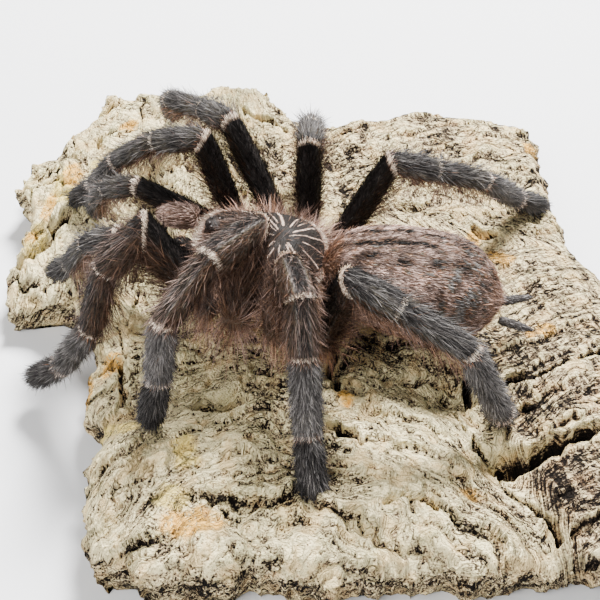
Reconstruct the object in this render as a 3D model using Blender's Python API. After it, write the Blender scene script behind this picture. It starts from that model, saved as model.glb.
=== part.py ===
"""A tarantula specimen fixed in a standing pose on a slab of cork bark.

Lengths are in millimetres here and are turned into metres when each mesh is made.
The head points to -X, left is -Y, and the slab lies flat on z = 0.
The origin is on the slab's underside, below the front body.
"""
import math

import bmesh
import bpy
from mathutils import Vector

MM = 0.001
GAP = 0.3                    # clear space between neighbouring pieces
SHARP_ANGLE = 50

# Front body. Everything on it is placed from the fovea, the dimple on the carapace,
# as forward, to the animal's left, and up.
FOVEA = Vector((-2.6, -0.2, 29.1))
HEADING = 10                 # degrees that the head is turned towards +Y
NOSE_UP = 11                 # degrees
CARAPACE_SIDE = ((12.6, 0.0), (12.5, 2.4), (11.7, 4.4), (9.3, 5.6), (6.2, 6.9), (2.6, 8.1),
                 (-1.0, 8.5), (-4.0, 7.9), (-6.2, 6.1), (-7.4, 3.2), (-7.5, 0.0))
CARAPACE_RINGS = (0.9, 0.74, 0.56, 0.38, 0.2, 0.07)
CARAPACE_DROP = 3.3          # height lost from the fovea to the rim
CARAPACE_DOME = 2.4          # higher is flatter on top
CARAPACE_RIM = -3.6
CARAPACE_FLOOR = -4.2
FLOOR_SCALE = 0.96
HEAD_FORWARD, HEAD_LENGTH, HEAD_WIDTH, HEAD_RISE = 7.5, 4.0, 3.6, 1.3
FOVEA_LENGTH, FOVEA_WIDTH, FOVEA_DEPTH = 0.9, 1.3, 0.6

# Legs: (forward, sideways) of each hip, and lengths and radii from hip to tip.
HIP_DROP = 6.5
HIPS = {"leg1": (9.5, 10.6), "leg2": (3.5, 13.4), "leg3": (-3.0, 13.5), "leg4": (-9.4, 11.8),
        "palp": (13.0, 5.9)}
LENGTHS = {"leg1": (14.5, 9.0, 12.0, 10.0, 7.5), "leg2": (14.5, 9.0, 11.0, 10.0, 7.5),
           "leg3": (13.0, 8.0, 9.5, 11.5, 8.0), "leg4": (15.5, 8.0, 12.0, 14.5, 8.0),
           "palp": (11.5, 7.5, 9.0, 5.5)}
LEG_PARTS = ("femur", "patella", "tibia", "metatarsus", "tarsus")
PALP_PARTS = ("femur", "patella", "tibia", "tarsus")
RADII = {"femur": (1.5, 1.9, 1.6), "patella": (1.6, 1.85, 1.6), "tibia": (1.55, 1.75, 1.5),
         "metatarsus": (1.4, 1.5, 1.3), "tarsus": (1.3, 1.45, 1.15)}
PALP_SCALE = 0.88
LIMB_SIDES = 8
SEGMENT_STATIONS = (0.0, 0.22, 0.5, 0.78, 1.0)
TIP_STATIONS = (0.0, 0.25, 0.6, 0.88, 1.0)
JOINT_WAIST = 0.86           # a segment's end radius against its nearest station's
TIP_WAIST = 0.55

# (azimuth, pitch) of every segment in degrees, azimuth from +X towards +Y.
POSE = {
    "leg_l1": ((-193, 58), (-164, -46), (-158, -72), (-180, -57), (-199, -41)),
    "leg_l2": ((-119, 113), (-130, 7), (-131, -28), (-128, -79), (-127, -68)),
    "leg_l3": ((10, 82), (-79, 13), (-75, -78), (-85, -54), (-83, -42)),
    "leg_l4": ((-40, 72), (-27, -14), (-14, -31), (-3, -66), (78, -49)),
    "leg_r1": ((193, 75), (155, -21), (147, -42), (145, -55), (151, -46)),
    "leg_r2": ((134, 52), (124, -19), (128, -22), (97, -42), (95, -49)),
    "leg_r3": ((90, 84), (88, -19), (88, -36), (88, -54), (88, -42)),
    "leg_r4": ((1, 64), (15, -24), (29, -32), (44, -45), (33, -36)),
    "palp_l": ((-189, 30), (-204, -36), (-222, -56), (-212, -43)),
    "palp_r": ((168, 25), (147, -30), (121, -50), (110, -57)),
}
HANGING_FOOT = "leg_l1"      # its tip reaches past the edge of the bark

# Coxae and sternum, a star with one lobe below each hip.
COXA_CENTRE, COXA_HALF_LENGTH, COXA_HALF_WIDTH = 1.4, 8.6, 6.2
COXA_SECTORS = 60
COXA_LOBE_WIDTH = 2.3
COXA_LOBE_SQUARENESS = 4
COXA_REACH = 2.2             # distance a lobe stays short of its hip
COXA_LEVELS = ((0.35, -4.6), (0.86, -4.9), (1.0, -6.6), (0.84, -8.3), (0.35, -9.0))

# Chelicerae: base, pitch below the body axis, length.
CHELICERA = {"l": ((13.5, 2.6, -4.1), 62, 6.5), "r": ((13.4, -2.6, -3.4), 14, 6.2)}
CHELICERA_HALF_WIDTH, CHELICERA_HALF_HEIGHT = 1.9, 2.3
CHELICERA_PROFILE = ((0.0, 0.62), (0.14, 0.9), (0.45, 1.0), (0.75, 0.86), (0.93, 0.6), (1.0, 0.3))
CHELICERA_SIDES = 12

# Fangs: share of the chelicera where one starts, and how it swings forward, back and down.
FANG_LENGTH, FANG_RADIUS, FANG_TAPER = 4.6, 0.75, 0.88
FANG_START, FANG_SEAT = 0.9, 0.62
FANG_FORWARD, FANG_BACK, FANG_DOWN = 0.25, 0.5, 0.75
FANG_STATIONS = (0.0, 0.25, 0.5, 0.75, 1.0)
FANG_SIDES = 8

ABDOMEN_FRONT = Vector((6.0, -1.4, 23.6))
ABDOMEN_REAR = Vector((33.0, -5.0, 19.4))
ABDOMEN_HALF_WIDTH, ABDOMEN_HALF_HEIGHT = 9.3, 8.1
ABDOMEN_PROFILE = ((0.0, 0.16), (0.04, 0.46), (0.12, 0.72), (0.25, 0.9), (0.4, 0.98), (0.56, 1.0),
                   (0.72, 0.93), (0.85, 0.76), (0.94, 0.5), (0.99, 0.2))
ABDOMEN_SIDES = 20
SPINNERETS = {"r": (Vector((32.6, -2.7, 17.6)), Vector((37.0, -1.8, 17.6))),
              "l": (Vector((32.3, -6.8, 16.8)), Vector((36.3, -8.6, 16.8)))}
SPINNERET_RADIUS = 0.6
SPINNERET_PROFILE = ((0.0, 0.8), (0.15, 1.0), (0.5, 1.0), (0.85, 0.7), (1.0, 0.3))
SPINNERET_SIDES = 8

# Cork bark. The outline runs once round the slab as seen from above.
BARK_CENTRE = Vector((0.0, 12.0))
BARK_OUTLINE = (
    (-31, -37), (-31, -26), (-31, -19.5), (-32.5, -15), (-33.5, -10), (-33, -6.5), (-36, 0),
    (-39, 4.5), (-42.5, 8.5), (-46, 10), (-49.5, 10.8), (-49, 14), (-49, 18), (-49.5, 21.5), (-48, 25),
    (-49.5, 31), (-51.5, 35), (-51, 39.5), (-49, 42.5), (-46, 42.8), (-43, 45), (-44, 50), (-41, 53),
    (-39.5, 57), (-39, 62), (-35.5, 63), (-32.5, 61.5), (-30.5, 63), (-27, 62.5), (-23.5, 60),
    (-21, 60), (-18, 62), (-13, 65.5), (-8, 65), (-6, 59.5), (-3.5, 57), (0, 55.5), (3, 54),
    (6.5, 54.5), (12.5, 54.5), (15.5, 53.5), (19, 56.5), (23, 56), (27, 54.5), (36.5, 55.5),
    (40, 53), (43.5, 52), (45, 47.5), (45, 38), (45.5, 30), (47, 25), (47, 19.5), (50, 14),
    (53, 9.5), (55, 3), (54.5, -5), (56, -12), (55, -20), (56, -28), (53.5, -36), (50, -42),
    (43, -45.5), (34, -44.5), (25, -47), (14, -46), (4, -47.5), (-6, -46.5), (-15, -48),
    (-24, -46.5), (-30, -45))
BARK_SECTORS = 120
BARK_RINGS = (0.06, 0.14, 0.22, 0.29, 0.36, 0.43, 0.5, 0.57, 0.64, 0.71, 0.78, 0.85, 0.92, 0.97, 1.0)
BARK_HEIGHT = 10.5
BARK_EDGE_START, BARK_EDGE_FALL = 0.78, 3.2
# The side wall, from just below the top edge to the underside: share of the height, scale in plan.
BARK_WALL = ((0.55, 1.0), (0.22, 0.985), (0.0, 0.965))
WALL_WAVE, WALL_WAVE_TURN, WALL_WAVE_SHIFT = 0.008, 1.9, 9
# Lumps: x, y, radius along X, radius along Y, height.
BARK_LUMPS = (
    (-10, -30, 15, 10, 3.0), (10, -30, 11, 11, 1.8), (-24, -38, 8, 7, 2.0), (-20, 60, 12, 9, 3.0),
    (22, 45, 16, 9, 2.6), (42, 30, 7, 14, 1.0), (-42, 33, 7, 9, 1.2), (38, 8, 9, 6, 1.2),
    (45, -10, 9, 8, 1.6), (-27, -14, 5, 5, 1.4), (-10, 43, 12, 7, 1.6), (22, -38, 9, 7, 1.4))
# Clefts: half width, depth, then the points they run through.
BARK_CLEFTS = (
    (2.6, 2.0, ((-46, 16), (-41.5, 21.5), (-38, 26))),
    (2.6, 1.8, ((-43, 37), (-37.5, 45.5))),
    (3.0, 4.5, ((5.3, -4.5), (5.5, -8), (5, -12))),
    (3.2, 3.6, ((17, -12), (24, -11), (25, -17))),
    (3.0, 2.6, ((24, -17), (25, -23), (28, -28), (29.5, -32), (35.5, -38), (38, -46))),
    (2.8, 2.2, ((28, -29), (41, -23.5), (46, -21.5), (56, -19))),
    (2.6, 1.6, ((-15, -19.5), (-9, -18.5))),
    (2.6, 1.2, ((30, 20), (34, 20.5))),
    (2.8, 2.2, ((-11, 53), (-5.5, 51), (1, 46.5))),
    (2.8, 1.6, ((-34, -12), (-27, -13), (-22, -20))),
    (2.8, 1.6, ((-20, 12), (-30, 4), (-35, 3))),
    (2.8, 1.6, ((8, 56), (5, 48), (2, 40))))
# Parallel ridges that run from lower left to upper right, and grow from left to right.
RIDGE_PITCH, RIDGE_RISE, RIDGE_ANGLE, RIDGE_BEND = 6.5, 0.7, 24, 0.12
RIDGE_FROM, RIDGE_TO = -5.0, 15.0
# A broad unevenness over the whole slab, as two crossed waves in radians per millimetre.
UNEVEN_RISE = 0.7
UNEVEN_WAVES = ((0.55, 0.21, 0.0), (-0.16, 0.47, 1.0))
FOOT_REACH = 4.5             # how far around a foot the bark meets it
FOOT_CLEAR = 1.65            # from a foot's centre line down to the bark


def clear_scene():
    for item in list(bpy.data.objects):
        bpy.data.objects.remove(item)


def make_material(name, colour, roughness):
    material = bpy.data.materials.new(name)
    material.use_nodes = True
    shader = material.node_tree.nodes["Principled BSDF"]
    shader.inputs["Base Color"].default_value = (*colour, 1.0)
    shader.inputs["Roughness"].default_value = roughness
    shader.inputs["Metallic"].default_value = 0.0
    return material


def loft(name, rings, material):
    """Make one closed object from rings of the same number of points, in millimetres."""
    mesh = bpy.data.meshes.new(name)
    bm = bmesh.new()
    loops = [[bm.verts.new(point * MM) for point in ring] for ring in rings]
    count = len(loops[0])
    for near, far in zip(loops, loops[1:]):
        for i in range(count):
            j = (i + 1) % count
            bm.faces.new((near[i], near[j], far[j], far[i]))
    bm.faces.new(loops[0])
    bm.faces.new(loops[-1])
    bmesh.ops.recalc_face_normals(bm, faces=bm.faces)
    bm.to_mesh(mesh)
    bm.free()
    mesh.materials.append(material)
    mesh.shade_smooth()
    mesh.set_sharp_from_angle(angle=math.radians(SHARP_ANGLE))
    bpy.context.scene.collection.objects.link(bpy.data.objects.new(name, mesh))


def direction(azimuth, pitch):
    a, p = math.radians(azimuth), math.radians(pitch)
    return Vector((math.cos(p) * math.cos(a), math.cos(p) * math.sin(a), math.sin(p)))


FORE = direction(180 - HEADING, NOSE_UP)
LEFT = Vector((0, 0, 1)).cross(FORE).normalized()
UP = FORE.cross(LEFT)


def on_body(forward, left, up):
    return FOVEA + FORE * forward + LEFT * left + UP * up


def ellipse(centre, axis, half_width, half_height, count):
    """Points round an axis, the first one towards its horizontal side."""
    side = axis.cross(Vector((0, 0, 1))).normalized()
    rise = side.cross(axis)
    turns = [2 * math.pi * i / count for i in range(count)]
    return [centre + side * half_width * math.cos(t) + rise * half_height * math.sin(t) for t in turns]


def spindle(start, end, half_width, half_height, profile, count):
    """Rings along a straight axis. The profile gives (share of the length, share of the size)."""
    axis = (end - start).normalized()
    return [ellipse(start.lerp(end, t), axis, half_width * size, half_height * size, count)
            for t, size in profile]


def slide_to_plane(ring, axis, point, normal):
    return [p + axis * ((point - p).dot(normal) / axis.dot(normal)) for p in ring]


def limb_joints(name):
    """Hip, joints and tip of one limb."""
    kind = "palp" if name.startswith("palp") else "leg" + name[-1]
    sign = 1 if "_l" in name else -1
    forward, aside = HIPS[kind]
    points = [on_body(forward, sign * aside, -HIP_DROP)]
    for length, angles in zip(LENGTHS[kind], POSE[name]):
        points.append(points[-1] + direction(*angles) * length)
    return points


def build_limb(name, materials):
    """Segments with mitred ends, so that they meet across an even gap at every bend."""
    points = limb_joints(name)
    palp = name.startswith("palp")
    parts = PALP_PARTS if palp else LEG_PARTS
    scale = PALP_SCALE if palp else 1.0
    axes = [(b - a).normalized() for a, b in zip(points, points[1:])]
    for i, part in enumerate(parts):
        start, end, axis = points[i], points[i + 1], axes[i]
        near, middle, far = RADII[part]
        last = part == parts[-1]
        stations = TIP_STATIONS if last else SEGMENT_STATIONS
        radii = (near * JOINT_WAIST, near, middle, far, far * (TIP_WAIST if last else JOINT_WAIST))
        rings = spindle(start, end, scale, scale, list(zip(stations, radii)), LIMB_SIDES)
        if i > 0:
            normal = (axes[i - 1] + axis).normalized()
            rings[0] = slide_to_plane(rings[0], axis, start + normal * GAP / 2, normal)
        if not last:
            normal = (axis + axes[i + 1]).normalized()
            rings[-1] = slide_to_plane(rings[-1], axis, end - normal * GAP / 2, normal)
        loft(f"{name}_{part}", rings, materials[part])


def build_carapace(material):
    outline = list(CARAPACE_SIDE) + [(f, -s) for f, s in reversed(CARAPACE_SIDE[1:-1])]
    rings = [[on_body(f * FLOOR_SCALE, s * FLOOR_SCALE, CARAPACE_FLOOR) for f, s in outline],
             [on_body(f, s, CARAPACE_RIM) for f, s in outline]]
    for scale in CARAPACE_RINGS:
        ring = []
        for forward, left in outline:
            f, s = forward * scale, left * scale
            height = -CARAPACE_DROP * scale ** CARAPACE_DOME
            height += HEAD_RISE * math.exp(-((f - HEAD_FORWARD) / HEAD_LENGTH) ** 2 - (s / HEAD_WIDTH) ** 2)
            height -= FOVEA_DEPTH * math.exp(-(f / FOVEA_LENGTH) ** 2 - (s / FOVEA_WIDTH) ** 2)
            ring.append(on_body(f, s, height))
        rings.append(ring)
    loft("carapace", rings, material)


def build_coxae(material):
    """The underside of the front body, one star-shaped piece."""
    hips = [(f - COXA_CENTRE, side * s) for f, s in HIPS.values() for side in (1, -1)]
    outline = []
    for i in range(COXA_SECTORS):
        turn = 2 * math.pi * i / COXA_SECTORS
        c, s = math.cos(turn), math.sin(turn)
        reach = 1.0 / math.hypot(c / COXA_HALF_LENGTH, s / COXA_HALF_WIDTH)
        for f, a in hips:
            lobe = math.hypot(f, a) - COXA_REACH
            across = abs(math.atan2(a * c - f * s, f * c + a * s)) * lobe
            reach = max(reach, lobe * math.exp(-(across / COXA_LOBE_WIDTH) ** COXA_LOBE_SQUARENESS))
        outline.append((c * reach, s * reach))
    rings = [[on_body(COXA_CENTRE + c * scale, s * scale, up) for c, s in outline]
             for scale, up in COXA_LEVELS]
    loft("coxae_sternum", rings, material)


def build_chelicera(side, chelicera_material, fang_material):
    base, dip, length = CHELICERA[side]
    drop = math.radians(dip)
    axis = FORE * math.cos(drop) - UP * math.sin(drop)
    under = -FORE * math.sin(drop) - UP * math.cos(drop)
    start = on_body(*base)
    rings = spindle(start, start + axis * length, CHELICERA_HALF_WIDTH, CHELICERA_HALF_HEIGHT,
                    CHELICERA_PROFILE, CHELICERA_SIDES)
    loft(f"chelicera_{side}", rings, chelicera_material)
    # The fang hangs from the end of the chelicera and curls back under it.
    seat = CHELICERA_HALF_HEIGHT * FANG_SEAT + FANG_RADIUS + GAP
    root = start + axis * length * FANG_START + under * seat
    middles = []
    for t in FANG_STATIONS:
        swing = FANG_FORWARD * math.sin(math.pi * t) - FANG_BACK * t * t
        middles.append(root + (axis * swing + under * FANG_DOWN * t) * FANG_LENGTH)
    rings = []
    last = len(middles) - 1
    for i, (t, middle) in enumerate(zip(FANG_STATIONS, middles)):
        along = (middles[min(i + 1, last)] - middles[max(i - 1, 0)]).normalized()
        radius = FANG_RADIUS * (1 - FANG_TAPER * t)
        rings.append(ellipse(middle, along, radius, radius, FANG_SIDES))
    loft(f"fang_{side}", rings, fang_material)


def build_abdomen(material):
    rings = spindle(ABDOMEN_FRONT, ABDOMEN_REAR, ABDOMEN_HALF_WIDTH, ABDOMEN_HALF_HEIGHT,
                    ABDOMEN_PROFILE, ABDOMEN_SIDES)
    loft("abdomen", rings, material)


def build_spinnerets(material):
    for side, (start, end) in SPINNERETS.items():
        rings = spindle(start, end, SPINNERET_RADIUS, SPINNERET_RADIUS, SPINNERET_PROFILE, SPINNERET_SIDES)
        loft(f"spinneret_{side}", rings, material)


def distance_to_path(x, y, path):
    best = math.inf
    for (ax, ay), (bx, by) in zip(path, path[1:]):
        dx, dy = bx - ax, by - ay
        t = max(0.0, min(1.0, ((x - ax) * dx + (y - ay) * dy) / (dx * dx + dy * dy)))
        best = min(best, math.hypot(x - ax - t * dx, y - ay - t * dy))
    return best


def bark_relief(x, y, scale):
    """Height of the bark before it is fitted to the feet. Scale is 1 on the outline."""
    edge = max(0.0, (scale - BARK_EDGE_START) / (1 - BARK_EDGE_START))
    height = BARK_HEIGHT - BARK_EDGE_FALL * edge ** 2
    for lx, ly, rx, ry, rise in BARK_LUMPS:
        height += rise * math.exp(-((x - lx) / rx) ** 2 - ((y - ly) / ry) ** 2)
    for half_width, depth, path in BARK_CLEFTS:
        height -= depth * math.exp(-(distance_to_path(x, y, path) / half_width) ** 2)
    turn = math.radians(RIDGE_ANGLE)
    across = y * math.cos(turn) - x * math.sin(turn)
    grown = max(0.0, min(1.0, (x - RIDGE_FROM) / (RIDGE_TO - RIDGE_FROM)))
    height += RIDGE_RISE * grown * math.sin(2 * math.pi * across / RIDGE_PITCH + RIDGE_BEND * x)
    uneven = UNEVEN_RISE
    for wave_x, wave_y, shift in UNEVEN_WAVES:
        uneven *= math.sin(wave_x * x + wave_y * y + shift)
    return height + uneven


def bark_outline_rays():
    """From the bark's centre to its outline, one ray for every sector."""
    points = [Vector(p) - BARK_CENTRE for p in BARK_OUTLINE]
    rays = []
    for i in range(BARK_SECTORS):
        turn = 2 * math.pi * i / BARK_SECTORS
        ray = Vector((math.cos(turn), math.sin(turn)))
        for a, b in zip(points, points[1:] + points[:1]):
            edge = b - a
            cross = ray.x * edge.y - ray.y * edge.x
            if cross == 0.0:
                continue
            reach = (a.x * edge.y - a.y * edge.x) / cross
            share = (a.x * ray.y - a.y * ray.x) / cross
            if reach > 0 and 0 <= share < 1:
                rays.append(ray * reach)
                break
    return rays


def build_bark(material):
    """A closed slab of rings, whose top dips or rises to meet each foot that stands on it."""
    feet = []
    for name in POSE:
        if name != HANGING_FOOT:
            tip = limb_joints(name)[-1]
            feet.append((tip, tip.z - FOOT_CLEAR - bark_relief(tip.x, tip.y, 0.0)))
    rays = bark_outline_rays()
    rings = []
    for scale in BARK_RINGS:
        ring = []
        for ray in rays:
            flat = BARK_CENTRE + ray * scale
            height = bark_relief(flat.x, flat.y, scale)
            for tip, change in feet:
                height += change * math.exp(-((flat - tip.xy).length / FOOT_REACH) ** 2)
            ring.append(Vector((flat.x, flat.y, height)))
        rings.append(ring)
    edge = rings[-1]
    for share, scale in BARK_WALL:
        ring = []
        for i, ray in enumerate(rays):
            wave = WALL_WAVE * math.sin(i * WALL_WAVE_TURN + share * WALL_WAVE_SHIFT) if share else 0.0
            flat = BARK_CENTRE + ray * (scale + wave)
            ring.append(Vector((flat.x, flat.y, edge[i].z * share)))
        rings.append(ring)
    loft("cork_bark", rings, material)


def main():
    clear_scene()
    distal = make_material("leg_distal", (0.05, 0.047, 0.05), 0.6)
    proximal = make_material("leg_proximal", (0.075, 0.045, 0.032), 0.65)
    limb_materials = {"femur": proximal, "patella": proximal, "tibia": distal,
                      "metatarsus": distal, "tarsus": distal}
    for name in POSE:
        build_limb(name, limb_materials)
    build_carapace(make_material("carapace", (0.06, 0.05, 0.038), 0.55))
    build_coxae(make_material("coxae", (0.09, 0.055, 0.04), 0.7))
    chelicera_material = make_material("chelicera", (0.16, 0.115, 0.09), 0.6)
    fang_material = make_material("fang", (0.012, 0.011, 0.012), 0.2)
    for side in CHELICERA:
        build_chelicera(side, chelicera_material, fang_material)
    build_abdomen(make_material("abdomen", (0.17, 0.12, 0.105), 0.75))
    build_spinnerets(make_material("spinneret", (0.05, 0.05, 0.052), 0.6))
    build_bark(make_material("cork_bark", (0.46, 0.42, 0.34), 0.9))


main()
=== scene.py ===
"""Looks of a tarantula specimen that stands on a slab of cork bark.

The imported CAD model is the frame. Each of its solids gets a finer skin here, and the
hairs grow from the skins. Lengths are in millimetres, and are turned into metres when a
mesh is made. The head points to -X, and left is -Y.
"""
import math

import bmesh
import bpy
import numpy as np
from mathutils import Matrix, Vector
from mathutils.bvhtree import BVHTree


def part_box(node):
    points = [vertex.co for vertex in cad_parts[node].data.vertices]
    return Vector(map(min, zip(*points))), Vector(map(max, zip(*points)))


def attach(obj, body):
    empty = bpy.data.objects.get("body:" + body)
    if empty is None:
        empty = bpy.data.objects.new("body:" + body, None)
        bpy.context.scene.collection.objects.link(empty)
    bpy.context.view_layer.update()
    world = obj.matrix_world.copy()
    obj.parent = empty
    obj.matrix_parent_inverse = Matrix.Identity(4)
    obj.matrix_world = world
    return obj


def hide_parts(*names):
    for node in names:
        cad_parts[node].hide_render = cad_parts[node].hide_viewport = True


MM = 0.001
TAILWARDS = np.array((1.0, 0.0, 0.0))
DOWN = np.array((0.0, 0.0, -1.0))
# In metres: points of a CAD solid that are closer than this are one point.
SAME_POINT = 1e-6
# In radians: triangles of a CAD solid are joined into quads if they bend and skew less than this.
FLAT_ENOUGH, SQUARE_ENOUGH = 0.7, 1.6

# The front body's own axes, which start at the dimple on the carapace.
FOVEA = np.array((-2.6, -0.2, 29.1))
HEADING, NOSE_UP = math.radians(10), math.radians(11)
FORE = np.array((-math.cos(NOSE_UP) * math.cos(HEADING), math.cos(NOSE_UP) * math.sin(HEADING),
                 math.sin(NOSE_UP)))
LEFT = np.cross((0, 0, 1), FORE) / np.linalg.norm(np.cross((0, 0, 1), FORE))
UP = np.cross(FORE, LEFT)

LIMBS = [f"leg_{side}{number}" for side in "lr" for number in (1, 2, 3, 4)] + ["palp_l", "palp_r"]
LEG_PARTS = ("femur", "patella", "tibia", "metatarsus", "tarsus")
PALP_PARTS = ("femur", "patella", "tibia", "tarsus")

# Places on the hair's colour strip, from black to cream.
BLACK, CHARCOAL, GREY, ASH, OLIVE, BROWN, RUST, TAN, MAUVE, PINK, CREAM = (
    0.0, 0.08, 0.16, 0.24, 0.33, 0.43, 0.52, 0.62, 0.73, 0.86, 1.0)
STRIP = (
    (BLACK, (0.012, 0.009, 0.007)), (CHARCOAL, (0.034, 0.029, 0.028)), (GREY, (0.095, 0.084, 0.080)),
    (ASH, (0.250, 0.230, 0.220)), (OLIVE, (0.140, 0.125, 0.088)), (BROWN, (0.120, 0.072, 0.048)),
    (RUST, (0.240, 0.095, 0.048)), (TAN, (0.440, 0.240, 0.145)), (MAUVE, (0.340, 0.225, 0.190)),
    (PINK, (0.700, 0.490, 0.400)), (CREAM, (0.950, 0.820, 0.660)))
# A hair also has one of these shades. The map's V axis has one band for each, and a hair's length
# takes up most of its band.
SHADES = (0.1, 0.28, 0.64, 1.4)
BAND_SHARE = 0.96
# Tones from here on turn a little paler towards the hair's tip.
FIRST_WARM_TONE, WARM_TIP = 0.47, 0.12
ROOT_LIGHT, TIP_LIGHT = 0.45, 1.45


# Small helpers

def lattice(ix, iy, seed):
    """A repeatable random number from 0 to 1 for each whole-number place. Large odd factors mix the bits."""
    mixed = (ix * 374761393 + iy * 668265263 + seed * 1274126177) & 0xFFFFFFFF
    mixed = ((mixed ^ (mixed >> 13)) * 1103515245) & 0xFFFFFFFF
    return ((mixed ^ (mixed >> 16)) & 0xFFFFFF) / 0xFFFFFF


def noise(x, y, size, seed):
    """Smooth noise from -1 to 1, with bumps about as wide as size."""
    u, v = x / size, y / size
    iu, iv = np.floor(u).astype(np.int64), np.floor(v).astype(np.int64)
    fu, fv = u - iu, v - iv
    fu, fv = fu * fu * (3 - 2 * fu), fv * fv * (3 - 2 * fv)
    low = lattice(iu, iv, seed) * (1 - fu) + lattice(iu + 1, iv, seed) * fu
    high = lattice(iu, iv + 1, seed) * (1 - fu) + lattice(iu + 1, iv + 1, seed) * fu
    return 2 * (low * (1 - fv) + high * fv) - 1


def layered_noise(x, y, size, seed, layers=4, fade=0.55):
    """Sum of noises. Each is half as wide as the one before, and fade times as strong."""
    total, weight = 0.0, 1.0
    for layer in range(layers):
        total = total + weight * noise(x, y, size / 2 ** layer, seed + layer)
        weight *= fade
    return total


def cell_edges(x, y, length, width, seed):
    """Distance to the nearest crack between random cells, in cell widths, and each cell's number."""
    u, v = x / length, y / width
    iu, iv = np.floor(u).astype(np.int64), np.floor(v).astype(np.int64)
    first = np.full(np.shape(u), 9.0)
    second = np.full(np.shape(u), 9.0)
    number = np.zeros(np.shape(u))
    for du in (-1, 0, 1):
        for dv in (-1, 0, 1):
            cu, cv = iu + du, iv + dv
            away = np.hypot(cu + 0.15 + 0.7 * lattice(cu, cv, seed) - u,
                            cv + 0.15 + 0.7 * lattice(cu, cv, seed + 1) - v)
            second = np.minimum(second, np.maximum(away, first))
            number = np.where(away < first, lattice(cu, cv, seed + 2), number)
            first = np.minimum(first, away)
    return second - first, number


def path_distance(x, y, path):
    """Distance to the line that joins the points of path."""
    best = np.full(np.shape(x), np.inf)
    for (ax, ay), (bx, by) in zip(path, path[1:]):
        dx, dy = bx - ax, by - ay
        t = np.clip(((x - ax) * dx + (y - ay) * dy) / (dx * dx + dy * dy), 0, 1)
        best = np.minimum(best, np.hypot(x - ax - t * dx, y - ay - t * dy))
    return best


def bump(distance, width):
    """1 at distance 0, and nearly 0 at twice the width."""
    return np.exp(-(distance / width) ** 2)


def smooth_step(low, high, value):
    """0 at low and 1 at high, with no kink. low may be the larger one."""
    t = np.clip((value - low) / (high - low), 0, 1)
    return t * t * (3 - 2 * t)


def unit(vectors):
    return vectors / np.maximum(np.linalg.norm(vectors, axis=-1, keepdims=True), 1e-9)


def add_object(name, data):
    made = bpy.data.objects.new(name, data)
    bpy.context.scene.collection.objects.link(made)
    return made


def new_mesh_object(name, points, faces, material):
    """points are in millimetres."""
    mesh = bpy.data.meshes.new(name)
    mesh.from_pydata((np.asarray(points) * MM).tolist(), [], faces)
    mesh.update()
    mesh.materials.append(material)
    mesh.shade_smooth()
    return add_object(name, mesh)


def store(obj, name, values):
    """Keep one number, or one vector, for each point of a mesh."""
    values = np.asarray(values, dtype=np.float32)
    kind, key = ("FLOAT", "value") if values.ndim == 1 else ("FLOAT_VECTOR", "vector")
    held = obj.data.attributes.new(name, kind, "POINT")
    held.data.foreach_set(key, values.ravel())


def points_of(obj):
    """A mesh's points in millimetres."""
    flat = np.empty(len(obj.data.vertices) * 3)
    obj.data.vertices.foreach_get("co", flat)
    return flat.reshape(-1, 3) / MM


def move_points(obj, points):
    """points are in millimetres."""
    obj.data.vertices.foreach_set("co", (points * MM).ravel())
    obj.data.update()


def long_axis(points, towards):
    """The direction in which a cloud of points is longest."""
    axis = np.linalg.svd(points - points.mean(axis=0), full_matrices=False)[2][0]
    return axis * (1 if axis @ towards > 0 else -1)


def settle(obj, slot, *nodes):
    """Attach a piece to the root and hide the CAD solids that it stands for. slot is not used."""
    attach(obj, "root")
    if nodes:
        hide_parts(*nodes)


def make_plain(obj, name):
    """A plain mesh object from one whose modifiers are live. The first one is removed."""
    graph = bpy.context.evaluated_depsgraph_get()
    mesh = bpy.data.meshes.new_from_object(obj.evaluated_get(graph))
    bpy.data.objects.remove(obj)
    mesh.name = name
    return add_object(name, mesh)


def refined(node, name, levels, material):
    """A finer, rounder copy of a CAD solid."""
    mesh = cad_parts[node].data.copy()
    bm = bmesh.new()
    bm.from_mesh(mesh)
    bmesh.ops.remove_doubles(bm, verts=bm.verts, dist=SAME_POINT)
    bmesh.ops.join_triangles(bm, faces=bm.faces, angle_face_threshold=FLAT_ENOUGH,
                             angle_shape_threshold=SQUARE_ENOUGH)
    for edge in bm.edges:
        edge.smooth = True
    bm.to_mesh(mesh)
    bm.free()
    mesh.materials.clear()
    mesh.materials.append(material)
    obj = add_object(name, mesh)
    finer = obj.modifiers.new("finer", "SUBSURF")
    finer.levels = finer.render_levels = levels
    made = make_plain(obj, name)
    made.data.shade_smooth()
    return made


def add_node(tree, kind, inputs=(), **settings):
    """Add one node. inputs gives a value or another node's output for a socket's name or number."""
    made = tree.nodes.new(kind)
    for key, value in settings.items():
        setattr(made, key, value)
    for key, value in dict(inputs).items():
        if isinstance(value, bpy.types.NodeSocket):
            tree.links.new(value, made.inputs[key])
        else:
            made.inputs[key].default_value = value
    return made


# Materials

def start_material(name, roughness, specular=0.5):
    material = bpy.data.materials.new(name)
    material.use_nodes = True
    shader = material.node_tree.nodes["Principled BSDF"]
    shader.inputs["Roughness"].default_value = roughness
    shader.inputs["Specular IOR Level"].default_value = specular
    return material, material.node_tree, shader


def fill_ramp(ramp, stops):
    elements = ramp.color_ramp.elements
    while len(elements) < len(stops):
        elements.new(0.5)
    for element, (place, colour) in zip(elements, stops):
        element.position = place
        element.color = (*colour, 1.0)


def read_number(tree, name):
    return add_node(tree, "ShaderNodeAttribute", attribute_name=name).outputs["Fac"]


def calculate(tree, operation, *values, clamp=False):
    return add_node(tree, "ShaderNodeMath", enumerate(values), operation=operation,
                    use_clamp=clamp).outputs[0]


def times(tree, first, second):
    return calculate(tree, "MULTIPLY", first, second)


def plus(tree, first, second):
    return calculate(tree, "ADD", first, second)


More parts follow.
